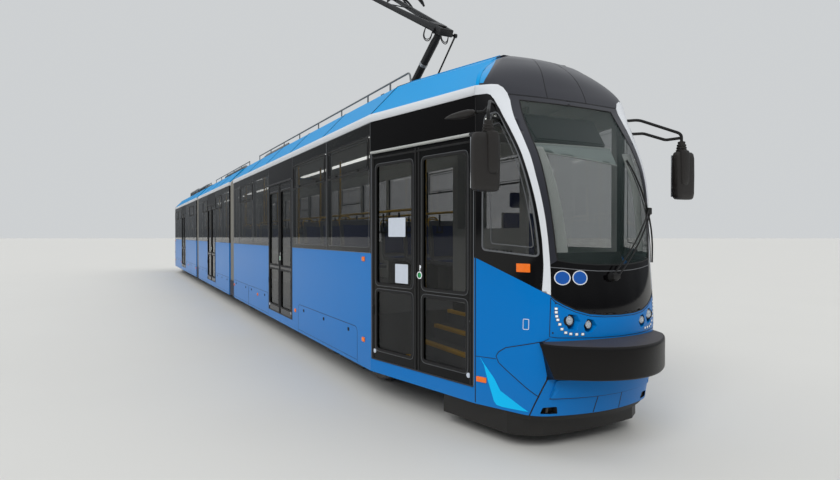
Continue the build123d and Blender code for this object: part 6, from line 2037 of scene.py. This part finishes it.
desk.append(turned_box((0.05, 0.80, 0.20), (13.72, 0, DESK_TOP + 0.06), pitch=-0.35, radius=0.016))
screens = [turned_box((0.006, 0.20, 0.13), (13.690, y, DESK_TOP + 0.075), pitch=-0.35, radius=0.003)
           for y in (-0.27, 0, 0.27)]
knobs = [turned(((0.0, 0.0), (0.012, 0.0), (0.012, 0.010), (0.0, 0.013)), (13.50, y, DESK_TOP + 0.020),
                steps=14) for y in np.arange(-0.36, 0.37, 0.06)]
lever = turned(((0.0, 0.0), (0.035, 0.0), (0.030, 0.02), (0.010, 0.025), (0.010, 0.09), (0.026, 0.10),
                (0.026, 0.13), (0.0, 0.14)), (13.46, -0.30, DESK_TOP + 0.015), steps=20)
for name, shapes, finish in (("top", [*desk, lever], "plastic"), ("screens", screens, "display"),
                             ("knobs", knobs, "pale")):
    on_front(f"desk_{name}", joined(shapes), finish)

# %% Rails, straps, light strips and step edges
collar = turned(((0.0175, 0.0), (0.030, 0.0), (0.030, 0.008), (0.022, 0.020), (0.0175, 0.024)), steps=20)
strap = joined([turned_box((0.006, 0.024, 0.16), (0, 0, -0.10), radius=0.002),
                soft_box((-0.012, -0.055, -0.262), (0.012, 0.055, -0.240), 0.008),
                *(turned_box((0.014, 0.014, 0.085), (0, y, -0.208), radius=0.005) for y in (-0.036, 0.036))])
RAIL_Z = 2.02
RAIL_Y = (-0.62, 0.18)
POLES = {"front": (4.25, 5.85, 7.05, 8.8, 10.45, 11.7), "middle": (-2.2, -0.9, 0.9, 2.2)}
POLES["rear"] = tuple(-x for x in POLES["front"][::-1])
STRIP_ENDS = {"front": (3.70, 11.80), "middle": (-2.9, 2.9), "rear": (-11.80, -3.70)}
for section, xs in POLES.items():
    body = f"{section}_section"
    feet = [(x, y, LOW_FLOOR if section == "middle" and abs(x) < 1 else HIGH_FLOOR) for x in xs
            for y in RAIL_Y]
    tops = [(x, y, CEILING) for x in xs for y in RAIL_Y]
    turns = [(0, 0, 0)] * len(feet) + [(math.pi, 0, 0)] * len(tops)
    copies(f"{section}_pole_collars", collar, feet + tops, "clamp", body, turns)
    a, b = min(xs), max(xs)
    tubes(f"{section}_hand_rails", [[(a, y, RAIL_Z), (b, y, RAIL_Z)] for y in RAIL_Y], 0.015, "pole", body,
          sides=14)
    hang = [(x, y, RAIL_Z) for x in np.arange(a + 0.3, b - 0.2, 0.45) for y in RAIL_Y
            if min(abs(x - pole) for pole in xs) > 0.1]
    copies(f"{section}_hand_straps", strap, hang, "rubber", body)
    x0, x1 = STRIP_ENDS[section]
    strips = [soft_box((x0, y - 0.05, CEILING - 0.022), (x1, y + 0.05, CEILING + 0.004), 0.008)
              for y in (-0.42, 0.42)]
    piece(f"{section}_light_strips", joined(strips), "glow", body)

RISE = (HIGH_FLOOR - LOW_FLOOR) / 3
STAIRS = ((7.12, 8.66, (0.80, 0.53, 0.26)), (11.80, 13.24, (0.60, 0.43, 0.26)))
edges = []
for x0, x1, risers in STAIRS:
    for step, y in enumerate(risers):
        z = LOW_FLOOR + (step + 1) * RISE
        edges.append(soft_box((x0 + 0.01, -y - 0.004, z - 0.035), (x1 - 0.01, -y + 0.045, z + 0.003), 0.002))
    outer = HALF - max(0.0, x1 - TAPER_X) * TAPER - 0.065
    edges.append(soft_box((x0 + 0.01, -outer, LOW_FLOOR - 0.002),
                          (x1 - 0.01, -outer + 0.05, LOW_FLOOR + 0.003), 0.002))
at_ends("step_edges", joined(edges), "yellow")
MIDDLE_STEP_X, GOING = 1.50, 0.28
cross_edges = []
for sign in (-1, 1):
    for step in range(3):
        x, z = sign * (MIDDLE_STEP_X + step * GOING), LOW_FLOOR + (step + 1) * RISE
        x0, x1 = sorted((x - sign * 0.004, x + sign * 0.045))
        cross_edges.append(soft_box((x0, -1.08, z - 0.035), (x1, 1.08, z + 0.003), 0.002))
on_middle("middle_step_edges", joined(cross_edges), "yellow")
# %% [markdown]
# ## Floor and light
# The object should look right under any light, so the studio is plain: a pale floor, a pale sky all
# round and large soft lamps. The world looks pale to the camera and in reflections.

# %% Stage
def stage_plane(name, size, code):
    mesh = bpy.data.meshes.new(name)
    mesh.from_pydata([(-size, -size, 0), (size, -size, 0), (size, size, 0), (-size, size, 0)], [],
                     [(0, 1, 2, 3)])
    mesh.materials.append(finish_of(name, code, rough=0.6, mottle=0.02, size=0.5))
    linked(name, mesh)


stage_plane("studio_floor", 400, "C9C8C4")
world = bpy.data.worlds.new("sky")
bpy.context.scene.world = world
world.use_nodes = True
tree = world.node_tree
background = tree.nodes["Background"]
ray = Value(tree, tree.nodes.new("ShaderNodeLightPath").outputs["Is Camera Ray"])
ahead = Value(tree, tree.nodes.new("ShaderNodeTexCoord").outputs["Generated"])
height = Value(tree, ahead.node("ShaderNodeSeparateXYZ", {0: ahead}).socket.node.outputs[2])
clouds = (ahead.noise(3.0, 4.0) - 0.5) * 0.25
lift = ((height + clouds) * 1.6).limited()
sky = lift.mix(colour_of("6E7276"), colour_of("EEF1F4"))
seen = ray.mix(sky, colour_of("E3E6E8"))
tree.links.new(seen.socket, background.inputs["Color"])
background.inputs["Strength"].default_value = 0.8
SUNS = (
    # direction from, strength, angle in degrees
    ((0.75, -1.0, 1.1), 1.7, 35),
    ((0.6, 0.9, 1.2), 0.7, 60),
    ((-1.0, -0.3, 0.9), 0.5, 60),
)
for direction, strength, angle in SUNS:
    data = bpy.data.lights.new("soft_sun", "SUN")
    data.energy = strength
    data.angle = math.radians(angle)
    lamp = linked("soft_sun", data)
    lamp.rotation_euler = Vector(direction).to_track_quat("Z", "Y").to_euler()
    lamp.visible_glossy = False
bpy.context.scene.view_settings.view_transform = "Standard"
